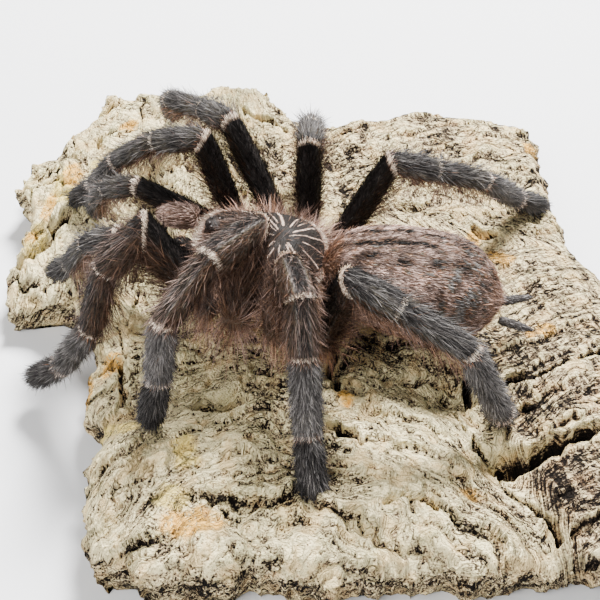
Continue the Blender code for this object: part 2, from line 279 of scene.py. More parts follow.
def combined(tree, x=0.0, y=0.0, z=0.0):
    return add_node(tree, "ShaderNodeCombineXYZ", {0: x, 1: y, 2: z}).outputs[0]


def blend_colour(tree, share, first, second, how="MIX"):
    return add_node(tree, "ShaderNodeMix", {0: share, 6: first, 7: second}, data_type="RGBA",
                    blend_type=how).outputs[2]


def multiplied(tree, share, colour, factor):
    return blend_colour(tree, share, colour, factor, "MULTIPLY")


def noise_texture(tree, scale, detail, distortion=0.0):
    """Noise in the object's own coordinates. scale is in bumps per metre."""
    place = add_node(tree, "ShaderNodeTexCoord").outputs["Object"]
    return add_node(tree, "ShaderNodeTexNoise", {"Vector": place, "Scale": scale, "Detail": detail,
                                                 "Distortion": distortion}).outputs["Fac"]


def remap(tree, value, low, high, new_low=0.0, new_high=1.0):
    return add_node(tree, "ShaderNodeMapRange", {
        0: value, 1: low, 2: high, 3: new_low, 4: new_high}).outputs[0]


def ramp_colour(tree, value, stops):
    ramp = add_node(tree, "ShaderNodeValToRGB", {0: value})
    fill_ramp(ramp, stops)
    return ramp.outputs[0]


def add_bump(tree, shader, height, strength, depth):
    relief = add_node(tree, "ShaderNodeBump", {"Height": height, "Strength": strength, "Distance": depth})
    tree.links.new(relief.outputs[0], shader.inputs["Normal"])


def layer_texture(tree, across, along):
    """Noise drawn out along the bark's layers, in bumps per millimetre across and along them."""
    place = combined(tree, times(tree, read_number(tree, "layer"), across),
                     times(tree, read_number(tree, "run"), along))
    return add_node(tree, "ShaderNodeTexNoise", {"Vector": place, "Scale": 1.0, "Detail": 4.0,
                                                 "Distortion": 0.3}).outputs["Fac"]


def hair_material():
    """Colour along the strip from the hair's own tone and shade, darker at the root than at the tip."""
    material, tree, shader = start_material("hair", 0.5, 0.12)
    split = add_node(tree, "ShaderNodeSeparateXYZ", {
        0: add_node(tree, "ShaderNodeUVMap", uv_map="OFBake").outputs[0]})
    tone = split.outputs[0]
    along = calculate(tree, "FRACT", times(tree, split.outputs[1], float(len(SHADES))))
    warm = calculate(tree, "GREATER_THAN", tone, FIRST_WARM_TONE)
    paler = times(tree, times(tree, along, WARM_TIP), warm)
    colour = ramp_colour(tree, plus(tree, tone, paler), STRIP)
    # The ramp holds half of each shade, because a ramp's colour goes up to 1.
    band = add_node(tree, "ShaderNodeValToRGB", {0: split.outputs[1]})
    fill_ramp(band, [(i / len(SHADES), (shade / 2,) * 3) for i, shade in enumerate(SHADES)])
    band.color_ramp.interpolation = "CONSTANT"
    light = times(tree, remap(tree, along, 0.0, 1.0, ROOT_LIGHT, TIP_LIGHT),
                  times(tree, band.outputs[0], 2.0))
    grey = add_node(tree, "ShaderNodeCombineColor", {0: light, 1: light, 2: light}).outputs[0]
    tree.links.new(multiplied(tree, 1.0, colour, grey), shader.inputs["Base Color"])
    return material


def cuticle_material():
    """The skin under the hair. It takes its tone from each point."""
    material, tree, shader = start_material("cuticle", 0.5, 0.06)
    grain = noise_texture(tree, 2600, 4)
    tone = plus(tree, read_number(tree, "tone"), remap(tree, grain, 0.0, 1.0, -0.05, 0.05))
    tree.links.new(multiplied(tree, 1.0, ramp_colour(tree, tone, STRIP), (0.72, 0.7, 0.68, 1)),
                   shader.inputs["Base Color"])
    add_bump(tree, shader, grain, 0.5, 0.0002)
    return material


def gloss_material():
    """Hard black cuticle, for the fangs and the eyes."""
    material, tree, shader = start_material("fang and eye", 0.3, 0.35)
    streak = noise_texture(tree, 900, 3)
    tone = ramp_colour(tree, streak, ((0.3, (0.006, 0.005, 0.005)), (0.8, (0.035, 0.020, 0.014))))
    tree.links.new(tone, shader.inputs["Base Color"])
    add_bump(tree, shader, streak, 0.15, 0.0001)
    return material


# Colours from the dark crevices to the pale crust. The dark end also shows painted shade from the crust
# attribute.
CREVICE_TO_CRUST = ((0.0, (0.010, 0.007, 0.005)), (0.16, (0.055, 0.040, 0.028)),
                    (0.34, (0.210, 0.148, 0.092)), (0.52, (0.470, 0.360, 0.215)),
                    (0.72, (0.760, 0.610, 0.335)), (1.0, (1.000, 0.860, 0.480)))
LICHEN = (0.78, 0.86, 0.78, 1)
BROWN_CORK = (0.88, 0.70, 0.56, 1)
YELLOW_CORK = (1.0, 0.84, 0.32, 1)
AMBER_CORK = (1.0, 0.62, 0.20, 1)
WHITE = (1, 1, 1, 1)
MIDDLE = 0.5                 # the mean of a noise texture


def bark_material():
    """Weathered cork: pale crust, grey-green lichen, dark crevices and amber fresh cork. The crust attribute
    also carries painted shade in hollows and folds.
    """
    material, tree, shader = start_material("cork bark", 0.9, 0.1)
    grit = noise_texture(tree, 3600, 2)
    fine = noise_texture(tree, 1500, 4, distortion=0.6)
    mottle = noise_texture(tree, 300, 3, distortion=0.5)
    coarse = noise_texture(tree, 150, 4, distortion=0.8)
    strata = layer_texture(tree, 1.3, 0.3)
    crease = layer_texture(tree, 0.5, 0.13)
    fibre = layer_texture(tree, 3.2, 0.5)
    stripe = layer_texture(tree, 0.22, 1.5)
    striped = read_number(tree, "stripe")

    def groove(texture, half):
        """1 along the thin winding lines where a noise crosses its middle."""
        off = calculate(tree, "ABSOLUTE", calculate(tree, "SUBTRACT", texture, MIDDLE))
        return remap(tree, off, 0.0, half, 1.0, 0.0)

    def heap(total, layers):
        """total with each layer's height above its middle, times a factor for plain and striped bark."""
        for texture, middle, plain, on_stripes in layers:
            factor = plain
            if on_stripes != plain:
                factor = plus(tree, plain, times(tree, striped, on_stripes - plain))
            total = plus(tree, total, times(tree, calculate(tree, "SUBTRACT", texture, middle), factor))
        return total

    # The crust attribute holds the crust's tone together with its painted shade.
    height = heap(read_number(tree, "crust"), (
        (fine, MIDDLE, 1.8, 1.4), (grit, MIDDLE, 3.0, 1.4), (strata, MIDDLE, 0.8, 0.8),
        (fibre, MIDDLE, 1.0, 1.0), (coarse, MIDDLE, 1.7, 1.1), (mottle, MIDDLE, 1.2, 1.2),
        (stripe, MIDDLE, 0.0, 1.3), (groove(crease, 0.024), 0.0, -0.65, -0.65),
        (groove(strata, 0.03), 0.0, -0.3, -0.3), (groove(fibre, 0.03), 0.0, -0.2, -0.2),
        (groove(stripe, 0.035), 0.0, 0.0, -0.25)))
    crust = ramp_colour(tree, height, CREVICE_TO_CRUST)
    green = times(tree, remap(tree, coarse, 0.5, 0.36), 0.35)
    colour = multiplied(tree, green, crust, LICHEN)
    brown = times(tree, remap(tree, mottle, 0.5, 0.62), 0.6)
    colour = multiplied(tree, brown, colour, BROWN_CORK)
    # Fresh cork: the attribute, the fine noise where it shows through, its strength, tint and paleness.
    for name, low, high, strength, tint, paleness in (("yellow", 0.3, 0.5, 0.85, YELLOW_CORK, 0.35),
                                                      ("amber", 0.34, 0.46, 1.0, AMBER_CORK, 0.25)):
        share = calculate(tree, "MULTIPLY", read_number(tree, name), remap(tree, fine, low, high),
                          clamp=True)
        fresh = multiplied(tree, 1.0, tint, blend_colour(tree, paleness, crust, WHITE))
        colour = blend_colour(tree, times(tree, share, strength), colour, fresh)
    tree.links.new(colour, shader.inputs["Base Color"])
    grain = heap(fine, (
        (fibre, 0.0, 0.9, 0.9), (grit, MIDDLE, 0.4, 0.4), (strata, MIDDLE, 1.0, 1.0),
        (groove(strata, 0.035), 0.0, -0.6, -0.6), (groove(crease, 0.035), 0.0, -1.2, -1.2),
        (stripe, 0.0, 0.0, 1.0)))
    add_bump(tree, shader, grain, 1.0, 0.0008)
    return material


def floor_material():
    material, _, shader = start_material("floor", 0.8)
    shader.inputs["Base Color"].default_value = (0.78, 0.78, 0.79, 1)
    return material


# Hair

# A blade's half width at the root, what it gains on the way, and how soon it narrows again.
ROOT_HALF, SWELL, SWELL_PACE = 0.32, 0.2, 1.3


def make_blade(name, cuts):
    """One flattened hair, 1 long and 1 wide, which bends towards -X. cuts is its number of steps."""
    points, faces, along = [], [], []
    for i in range(cuts):
        t = i / cuts
        half = ROOT_HALF + SWELL * math.sin(math.pi * min(1.0, t * SWELL_PACE))
        points += [(-t * t, -half, t), (-t * t, half, t)]
        along += [t, t]
    points.append((-1.0, 0.0, 1.0))
    along.append(1.0)
    for i in range(cuts - 1):
        faces.append((2 * i, 2 * i + 1, 2 * i + 3, 2 * i + 2))
    faces.append((2 * cuts - 2, 2 * cuts - 1, 2 * cuts))
    mesh = bpy.data.meshes.new(name)
    mesh.from_pydata(points, [], faces)
    blade = add_object(name, mesh)
    store(blade, "along", along)
    return blade


def field(tree, name, kind="FLOAT"):
    return add_node(tree, "GeometryNodeInputNamedAttribute", {"Name": name}, data_type=kind).outputs[0]


def vary(tree, low, high, seed):
    made = add_node(tree, "FunctionNodeRandomValue", {2: low, 3: high, 8: seed}, data_type="FLOAT")
    return made.outputs[1]


def vector_work(tree, operation, *values, **named):
    inputs = {**dict(enumerate(values)), **named}
    return add_node(tree, "ShaderNodeVectorMath", inputs, operation=operation).outputs[0]


def scaled(tree, vector, factor):
    return vector_work(tree, "SCALE", vector, Scale=factor)


def within(tree, value, least, most):
    return calculate(tree, "MINIMUM", calculate(tree, "MAXIMUM", value, least), most)


HAIR_INPUTS = (
    ("Nap Blade", "NodeSocketObject", None), ("Bristle Blade", "NodeSocketObject", None),
    ("Nap Width", "NodeSocketFloat", 0.075), ("Bristle Width", "NodeSocketFloat", 0.055),
    ("Nap Bend", "NodeSocketFloat", 0.25), ("Bristle Bend", "NodeSocketFloat", 0.3),
    ("Spread", "NodeSocketFloat", 0.22), ("Tone Spread", "NodeSocketFloat", 0.05),
    ("Shade Spread", "NodeSocketFloat", 0.3),
    ("Density Share", "NodeSocketFloat", 1.0), ("Seed", "NodeSocketInt", 1),
    ("Material", "NodeSocketMaterial", None))


def growing_way(tree, normal, lift, stray):
    """The way a hair grows: along the skin as the comb says, raised by lift, and off by stray."""
    comb = field(tree, "comb", "FLOAT_VECTOR")
    facing = add_node(tree, "ShaderNodeVectorMath", {0: comb, 1: normal},
                      operation="DOT_PRODUCT").outputs["Value"]
    comb = vector_work(tree, "NORMALIZE", vector_work(tree, "SUBTRACT", comb, scaled(tree, normal, facing)))
    flat = scaled(tree, comb, calculate(tree, "COSINE", lift))
    rise = scaled(tree, normal, calculate(tree, "SINE", lift))
    return vector_work(tree, "ADD", vector_work(tree, "ADD", flat, rise), stray)


def plant_coat(tree, given, coat, seed_step):
    """One coat's blades on the skin, each with its own direction, size, tone and shade."""
    seed = plus(tree, given["Seed"], seed_step)

    def own(fact):
        return field(tree, f"{coat.lower()}_{fact}")

    def chance(low, high, step=0.0):
        return vary(tree, low, high, plus(tree, seed, step))

    density = times(tree, own("density"), given["Density Share"])
    scatter = add_node(tree, "GeometryNodeDistributePointsOnFaces", {
        "Mesh": given["Geometry"], "Density": times(tree, density, MM ** -2), "Seed": seed})
    normal = scatter.outputs["Normal"]
    lift = times(tree, own("lift"), chance(0.5, 1.5))
    stray = add_node(tree, "FunctionNodeRandomValue", {0: (-1, -1, -1), 1: (1, 1, 1), 8: seed},
                     data_type="FLOAT_VECTOR").outputs[0]
    grow = growing_way(tree, normal, lift, scaled(tree, stray, given["Spread"]))
    turn = add_node(tree, "FunctionNodeAxesToRotation", {0: grow, 1: normal},
                    primary_axis="Z", secondary_axis="X").outputs[0]
    roll = add_node(tree, "FunctionNodeEulerToRotation", {
        0: combined(tree, z=chance(-1.0, 1.0, 3.0))}).outputs[0]
    turn = add_node(tree, "FunctionNodeRotateRotation", {0: turn, 1: roll},
                    rotation_space="LOCAL").outputs[0]
    length = times(tree, times(tree, own("length"), chance(0.55, 1.3, 5.0)), MM)
    bend = times(tree, length, times(tree, given[coat + " Bend"], chance(-0.3, 1.7, 6.0)))
    size = combined(tree, bend, times(tree, given[coat + " Width"], MM), length)
    tone = plus(tree, own("tone"), times(tree, chance(-1.0, 1.0, 7.0), given["Tone Spread"]))
    shade = plus(tree, own("shade"), times(tree, chance(-1.0, 1.0, 8.0), given["Shade Spread"]))
    level = calculate(tree, "FLOOR", times(tree, shade, float(len(SHADES))))
    dyed = scatter.outputs["Points"]
    for name, value in (("hair_tone", tone), ("hair_level", within(tree, level, 0.0, len(SHADES) - 1.0))):
        dyed = add_node(tree, "GeometryNodeStoreNamedAttribute", {
            "Geometry": dyed, "Name": name, "Value": value}, data_type="FLOAT",
            domain="POINT").outputs[0]
    blade = add_node(tree, "GeometryNodeObjectInfo", {0: given[coat + " Blade"]}).outputs["Geometry"]
    return add_node(tree, "GeometryNodeInstanceOnPoints", {
        "Points": dyed, "Instance": blade, "Rotation": turn, "Scale": size}).outputs[0]


def build_hair_tree():
    """Two coats of hair on a skin: a short dense nap, and long bristles.

    The skin's points say how dense, how long, how raised and of what tone each coat is there, and comb
    says which way it lies. Each hair keeps its tone and its length along as the OFBake map.
    """
    tree = bpy.data.node_groups.new("hair coat", "GeometryNodeTree")
    tree.interface.new_socket("Geometry", in_out="INPUT", socket_type="NodeSocketGeometry")
    for name, kind, value in HAIR_INPUTS:
        made = tree.interface.new_socket(name, in_out="INPUT", socket_type=kind)
        if value is not None:
            made.default_value = value
    tree.interface.new_socket("Geometry", in_out="OUTPUT", socket_type="NodeSocketGeometry")
    given = tree.nodes.new("NodeGroupInput").outputs
    both = add_node(tree, "GeometryNodeJoinGeometry")
    for coat, seed_step in (("Nap", 0.0), ("Bristle", 10.0)):
        tree.links.new(plant_coat(tree, given, coat, seed_step), both.inputs[0])
    real = add_node(tree, "GeometryNodeRealizeInstances", {0: both.outputs[0]}).outputs[0]
    in_band = plus(tree, field(tree, "hair_level"), times(tree, field(tree, "along"), BAND_SHARE))
    place = combined(tree, within(tree, field(tree, "hair_tone"), 0.01, 0.99),
                     calculate(tree, "DIVIDE", in_band, float(len(SHADES))))
    mapped = add_node(tree, "GeometryNodeStoreNamedAttribute", {
        "Geometry": real, "Name": "OFBake", "Value": place},
        data_type="FLOAT2", domain="CORNER").outputs[0]
    done = add_node(tree, "GeometryNodeSetMaterial", {0: mapped, "Material": given["Material"]}).outputs[0]
    out = tree.nodes.new("NodeGroupOutput")
    tree.links.new(done, out.inputs[0])
    return tree


def grow_hair(skin, name, seed, slot, **sizes):
    """The hair of one skin, as a plain mesh of its own."""
    carrier = add_object(name, skin.data.copy())
    coat = carrier.modifiers.new("hair coat", "NODES")
    coat.node_group = hair_tree
    values = {"Nap Blade": nap_blade, "Bristle Blade": bristle_blade, "Material": materials["hair"],
              "Seed": seed, **sizes}
    for item in hair_tree.interface.items_tree:
        if item.item_type == "SOCKET" and item.in_out == "INPUT" and item.name in values:
            coat[item.identifier] = values[item.name]
    made = make_plain(carrier, name)
    spare = ("hair_tone", "hair_level", "along", "comb", "nap_", "bristle_")
    for used in [a.name for a in made.data.attributes if a.name.startswith(spare)]:
        made.data.attributes.remove(made.data.attributes[used])
    settle(made, slot)


COAT_FACTS = ("density", "length", "lift", "tone", "shade")


def dress(skin, comb, tone, nap, bristle):
    """Say how the hair grows on a skin. nap and bristle give the COAT_FACTS."""
    count = len(skin.data.vertices)
    store(skin, "comb", comb)
    store(skin, "tone", np.broadcast_to(tone, count))
    for coat, values in (("nap", nap), ("bristle", bristle)):
        for part, value in zip(COAT_FACTS, values):
            store(skin, f"{coat}_{part}", np.broadcast_to(np.asarray(value, dtype=float), count))


# Limbs

SIDES = 30                   # points round a limb
STATIONS = (0.0, 0.03, 0.08, 0.15, 0.24, 0.34, 0.45, 0.56, 0.67, 0.77, 0.86, 0.94, 0.95, 0.975, 1.0)
# Share of a segment's length, and its radius in millimetres there.
GIRTH = {
    "femur": ((0, 1.25), (0.1, 1.45), (0.4, 1.8), (0.75, 1.75), (0.93, 1.6), (1, 1.35)),
    "patella": ((0, 1.3), (0.1, 1.55), (0.5, 1.85), (0.8, 1.75), (0.94, 1.6), (1, 1.3)),
    "tibia": ((0, 1.25), (0.1, 1.5), (0.5, 1.65), (0.8, 1.58), (0.94, 1.5), (1, 1.2)),
    "metatarsus": ((0, 1.15), (0.1, 1.35), (0.5, 1.42), (0.85, 1.35), (1, 1.15)),
    "tarsus": ((0, 1.1), (0.1, 1.3), (0.5, 1.42), (0.85, 1.32), (0.96, 1.05), (1, 0.6)),
}
RING_START = 0.945           # share of a segment's length where its pale ring starts
# The hairy part of a femur, from the hip, and the bald part before it.
ROOT_END, ROOT_FULL, BALD_END = 0.2, 0.08, 0.01
# Degrees from the top where the knees and shins of the left legs turn brown, and where the rest do.
BROWN_SIDE = {"leg_l1": 60, "leg_l2": 34, "leg_l3": 36, "leg_l4": 82}
DARK_SIDE = 95
BROWN_LEGS = ("leg_l1", "leg_l2", "leg_l3")
# How thick the two halves of a limb are beside these.
LIMB_SHARE = {"palp_l": (0.9, 0.95), "palp_r": (0.88, 0.88), "leg_l1": (1.3, 1.15),
              "leg_l2": (1.45, 1.18), "leg_l3": (1.45, 1.3), "leg_l4": (1.15, 1.15)}
# How far a limb's root goes in under the carapace, in millimetres, and on two steep legs.
HIP_REACH = 3.2
STEEP_HIP_REACH = {"leg_l2": 0.6, "leg_l3": 0.6}
# Two flats of a limb solid are one if their normals and their distances, in metres, differ by less.
SAME_NORMAL, SAME_REACH = 0.004, 2e-5


def cap_centres(node):
    """The centres of a limb solid's two flat ends."""
    bm = bmesh.new()
    bm.from_mesh(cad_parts[node].data)
    bmesh.ops.remove_doubles(bm, verts=bm.verts, dist=SAME_POINT)
    flats = {}
    for face in bm.faces:
        reach = face.normal.dot(face.verts[0].co)
        key = next((k for k in flats if (k[0] - face.normal).length < SAME_NORMAL
                    and abs(k[1] - reach) < SAME_REACH), None)
        if key is None:
            key = (face.normal.copy().freeze(), reach)
            flats[key] = []
        flats[key].append(face)
    ends = sorted(flats.values(), key=len)[-2:]
    centres = []
    for end in ends:
        rim = {v for face in end for v in face.verts}
        centres.append(np.array(sum((v.co for v in rim), Vector()) / len(rim)) / MM)
    bm.free()
    return centres


def limb_points(limb, parts):
    """The hip, every joint and the tip of a limb."""
    ends = [cap_centres(f"{limb}_{part}") for part in parts]
    path = []
    for here, following in zip(ends, ends[1:]):
        gaps = [(np.linalg.norm(a - b), i, j) for i, a in enumerate(here) for j, b in enumerate(following)]
        _, i, j = min(gaps)
        if not path:
            path.append(here[1 - i])
        path.append((here[i] + following[j]) / 2)
        last = following[1 - j]
    return path + [last]


def build_limb_skin(name, path, parts, first, last, share):
    """One closed tube over the segments first to last, with mitred bends.

    Returns the object, and for each point its segment, its share along it, the cosine round the limb
    (1 on top and -1 below), the sine, and the segment's axis.
    """
    axes = [unit(b - a) for a, b in zip(path, path[1:])]
    hinge = unit(np.cross(axes[0], axes[1]))
    turn = 2 * math.pi * np.arange(SIDES) / SIDES
    rings, facts = [], []
    for i in range(first, last + 1):
        axis, start, length = axes[i], path[i], np.linalg.norm(path[i + 1] - path[i])
        top = unit(np.cross(axis, hinge))
        side = np.cross(top, axis)
        near = unit(axes[i - 1] + axis) if i > 0 else axis
        far = unit(axes[i + 1] + axis) if i + 1 < len(axes) else axis
        shares, radii = zip(*GIRTH[parts[i]])
        for t in STATIONS:
            if t == 0.0 and i > first:
                continue
            radius = share * float(np.interp(t, shares, radii))
            spoke = (np.cos(turn)[:, None] * top + np.sin(turn)[:, None] * side) * radius
            low = -(spoke @ near) / (axis @ near)
            high = length - (spoke @ far) / (axis @ far)
            rings.append(start + spoke + axis * (low + (high - low) * t)[:, None])
            for c, s in zip(np.cos(turn), np.sin(turn)):
                facts.append((i, t, c, s, *axis))
    points = np.concatenate(rings)
    faces = []
    for r in range(len(rings) - 1):
        for k in range(SIDES):
            a, b = r * SIDES + k, r * SIDES + (k + 1) % SIDES
            faces.append((a, b, b + SIDES, a + SIDES))
    faces += [tuple(range(SIDES))[::-1], tuple(range(len(points) - SIDES, len(points)))]
    skin = new_mesh_object(name, points, faces, materials["cuticle"])
    bm = bmesh.new()
    bm.from_mesh(skin.data)
    bmesh.ops.recalc_face_normals(bm, faces=bm.faces)
    bm.to_mesh(skin.data)
    bm.free()
    return skin, np.array(facts)


def segment_look(limb, part, t, below, angle, patch):
    """What a segment's nap and bristles are like at each point, and its skin's tone there."""
    femur, foot = part == "femur", part == "metatarsus"
    lower = part in ("metatarsus", "tarsus")
    brown_side = BROWN_SIDE.get(limb, DARK_SIDE)
    left_leg, brown_leg = limb in BROWN_SIDE, limb in BROWN_LEGS
    ring = np.zeros(len(t)) if part == "tarsus" else (t > RING_START) * 1.0
    root = smooth_step(ROOT_END, ROOT_FULL, t) if femur else 0.0
    stripe = np.zeros(len(t))
    if not lower:
        stripe = bump(angle - 28, 8.0) * smooth_step(0.05, 0.2, t) * smooth_step(0.94, 0.85, t)
    skin_tone = np.where(below > 0.4, BROWN, CHARCOAL if femur else GREY - 0.02)
    if femur:
        base = np.where(angle + 15 * patch > 45, BROWN - 0.01, CHARCOAL)
        bright = 0.24 + (0.2 + 0.1 * brown_leg) * below + 0.25 * root
        long_tone, long_shade = CHARCOAL, 0.3
    elif lower:
        base = GREY + (0.06 if foot else 0.03)
        bright = (0.54 if brown_leg else 0.44) if foot else (0.31 if brown_leg else 0.26)
        long_tone, long_shade = ASH, 0.5
    else:
        browner = angle > brown_side + 18 * patch
        base = np.where(browner, BROWN - 0.03 + 0.06 * (below > 0.5), np.where(
            patch > (-0.35 if brown_leg else 0.1), OLIVE + 0.03 * brown_leg, GREY))
        bright = np.where(browner, 0.33, 0.28 if brown_leg else 0.4) + 0.12 * below
        long_tone, long_shade = (MAUVE, 0.3) if brown_leg else (ASH, 0.5)
        skin_tone = np.where(angle > brown_side, BROWN, CHARCOAL)
    pale, pale_shade = (PINK, 0.7) if foot else (CREAM - 0.05, 1.0)
    dark = ((angle < brown_side + 10) & (root < 0.5)) | lower
    nap = {
        "density": (35.5 if lower else 29) * (1 - 0.8 * stripe) * (1 + 0.4 * ring),
        "length": (1.6 if lower else 1.15) * (1 - 0.45 * ring) * (1 - 0.4 * stripe),
        "lift": (0.5 if lower else 0.32) + 0.3 * ring,
        "tone": np.where(ring > 0, pale, base + 0.03 * patch),
        "shade": np.where(ring > 0, pale_shade, bright + 0.12 * patch),
    }
    bristle = {
        "density": (4.5 if lower else 5.5) + (2.0 if lower else 7.0) * below + 12 * root * (
            t > BALD_END),
        "length": (2.0 if lower else 2.6) + (0.3 if lower else 2.3) * below + brown_leg * (
            1.6 * femur * (angle > brown_side) + 1.2 * root),
        "lift": 0.55 + 0.2 * below - 0.3 * root * left_leg,
        "tone": np.where(dark, long_tone, np.where(patch > 0.0, TAN + 0.03, RUST + 0.04)),
        "shade": long_shade + 0.15 * patch + 0.45 * root,
    }
    if not femur:
        skin_tone = skin_tone + (OLIVE - GREY - 0.02) * (stripe > 0.5)
    return nap, bristle, np.where(ring > 0, CREAM - 0.03, skin_tone)


def dress_limb(skin, facts, limb, parts, seed):
    """Dark hair on top with two thin bald stripes, rust below, and a pale ring before each joint."""
    which, t, top, side = facts[:, 0].astype(int), facts[:, 1], facts[:, 2], facts[:, 3]
    points = points_of(skin)
    below = smooth_step(0.15, 0.95, -top)
    angle = np.degrees(np.arctan2(np.abs(side), top))
    patch = noise(points[:, 0] + points[:, 2], points[:, 1] - points[:, 2], 1.6, seed)
    nap = {key: np.zeros(len(t)) for key in COAT_FACTS}
    bristle = {key: np.zeros(len(t)) for key in COAT_FACTS}
    tone = np.zeros(len(t))
    for i, part in enumerate(parts):
        nap_here, bristle_here, tone_here = segment_look(limb, part, t, below, angle, patch)
        for coat, here in ((nap, nap_here), (bristle, bristle_here)):
            for key, value in here.items():
                coat[key] = np.where(which == i, value, coat[key])
        tone = np.where(which == i, tone_here, tone)
    # Hair at the hips of the left legs hangs down.
    hang = (smooth_step(ROOT_END, 0.06, t) * (which == 0) * (limb in BROWN_SIDE))[:, None]
    comb = unit(facts[:, 4:7] * (1 - 0.7 * hang) + 0.9 * hang * DOWN)
    # The hip's end is bald, because it sits against the body.
    covered = 1.0 - (which == 0) * (t < BALD_END)
    nap["density"], bristle["density"] = nap["density"] * covered, bristle["density"] * covered
    dress(skin, comb, tone, [nap[k] for k in COAT_FACTS], [bristle[k] for k in COAT_FACTS])


def build_limb(limb, seed):
    parts = PALP_PARTS if limb.startswith("palp") else LEG_PARTS
    path = limb_points(limb, parts)
    path[0] = path[0] - STEEP_HIP_REACH.get(limb, HIP_REACH) * unit(path[1] - path[0])
    shares = LIMB_SHARE.get(limb, (1.0, 1.0))
    for half, share, first, last, slot in (("upper", shares[0], 0, 1, "leg_proximal"),
                                           ("lower", shares[1], 2, len(parts) - 1, "leg_distal")):
        skin, facts = build_limb_skin(f"{limb}_{half}", path, parts, first, last, share)
        dress_limb(skin, facts, limb, parts, seed)
        grow_hair(skin, f"{limb}_{half}_hair", seed, slot)
        settle(skin, slot, *[f"{limb}_{part}" for part in parts[first:last + 1]])
        seed += 40


# Front body

# Pale rays from the dimple: degrees from straight ahead towards the left, half width, start and end.
RAYS = ((-51, 0.3, 1.2, 8.5), (-37, 0.2, 2.0, 8.0), (-31, 0.2, 1.0, 5.0), (12, 0.22, 1.0, 5.5),
        (57, 0.26, 1.4, 7.0), (-80, 0.4, 2.0, 6.5), (-105, 0.22, 2.2, 6.0), (-132, 0.28, 1.6, 6.5),
        (-150, 0.2, 0.8, 6.8), (136, 0.34, 1.0, 7.5), (124, 0.3, 1.4, 7.8), (-176, 0.22, 2.8, 7.0),
        (93, 0.22, 1.6, 6.0), (160, 0.18, 3.4, 6.5), (-16, 0.2, 1.8, 7.0), (34, 0.22, 2.0, 7.5),
        (-66, 0.2, 2.6, 7.0), (75, 0.2, 2.5, 7.0), (108, 0.2, 3.5, 7.5), (-118, 0.16, 3.5, 6.5))
# Each ray is drawn thinner than its row says, and starts and ends further out, in millimetres.
RAY_SHARE, START_SHIFT, END_SHIFT = 0.65, 0.2, 0.8
# The pale parts of the shield: half lengths to the front, to the rear and to a side.
SHIELD_FRONT, SHIELD_REAR, SHIELD_SIDE = 12.6, 7.5, 8.5


def body_place(points):
    """Forward, left and up from the dimple."""
    away = points - FOVEA
    return away @ FORE, away @ LEFT, away @ UP


def build_carapace():
    skin = refined("carapace", "carapace_shield", 4, materials["cuticle"])
    points = points_of(skin)
    forward, left, up = body_place(points)
    reach = np.hypot(forward, left)
    angle = np.degrees(np.arctan2(left, forward))
    ray = np.zeros(len(points))
    crook = 4.0 * noise(forward, left, 2.2, 3)
    for place, half, start, end in RAYS:
        half, start, end = RAY_SHARE * half, start + START_SHIFT, end + END_SHIFT
        off = np.abs((angle + crook - place + 180) % 360 - 180) * np.radians(reach)
        ray = np.maximum(ray, bump(off, half) * smooth_step(start - 0.3, start + 0.4, reach)
                         * smooth_step(end + 0.6, end - 0.8, reach))
    head = smooth_step(3.5, 7.0, forward)
    scale = np.hypot(forward / np.where(forward > 0, SHIELD_FRONT, SHIELD_REAR), left / SHIELD_SIDE)
    rim = smooth_step(0.92, 0.955, scale)
    under = smooth_step(-3.7, -4.1, up)
    outward = unit(forward[:, None] * FORE + left[:, None] * LEFT)
    comb = unit(outward + 0.9 * head[:, None] * FORE)
    patch = noise(forward * 3, left * 3, 2.0, 5)
    dull = np.where(patch + 1.2 * head > 0.9, BROWN, np.where(patch > -0.3, OLIVE, CHARCOAL))
    tone = np.where(ray > 0.5, PINK + 0.04, dull)
    tone = np.where(rim > 0.5, PINK + 0.03, tone)
    shade = np.where((ray > 0.5) | (rim > 0.5), 0.62, 0.1 + 0.2 * head + 0.12 * patch)
    skin_tone = np.where(rim > 0.5, MAUVE, np.where(ray > 0.5, PINK, BLACK + 0.03))
    dress(skin, comb, skin_tone,
          ((30 + 70 * (ray > 0.5) + 25 * rim) * (1 - under), 0.4 + 0.5 * rim + 0.4 * head, 0.1 + 0.3 * rim,
           tone, shade), (0.4 + 3.5 * rim + 2.0 * head, 1.3 + 1.2 * rim, 0.5, TAN + 0.03 * patch, 0.5))
    grow_hair(skin, "carapace_hair", 700, "carapace",
              **{"Nap Width": 0.055, "Spread": 0.1, "Tone Spread": 0.03, "Shade Spread": 0.2})
    settle(skin, "carapace", "carapace")


# On their mound: forward, left and radius of each eye.
EYES = ((0.75, 0.55, 0.32), (0.75, -0.55, 0.32), (0.35, 1.15, 0.26), (0.35, -1.15, 0.26),
        (-0.45, 0.85, 0.2), (-0.45, -0.85, 0.2), (-0.5, 1.25, 0.2), (-0.5, -1.25, 0.2))
# From the dimple: forward and left, then half length, half width and height.
EYE_MOUND = (10.4, 0.0, 1.5, 1.6, 0.75)
UNDERSIDE = -2.8             # the carapace's points below this, from the dimple, are not its top


def ball(bm, centre, axes):
    made = bmesh.ops.create_uvsphere(bm, u_segments=20, v_segments=12, radius=1.0)
    for vert in made["verts"]:
        x, y, z = vert.co
        vert.co = Vector(centre + axes[0] * x + axes[1] * y + axes[2] * z) * MM


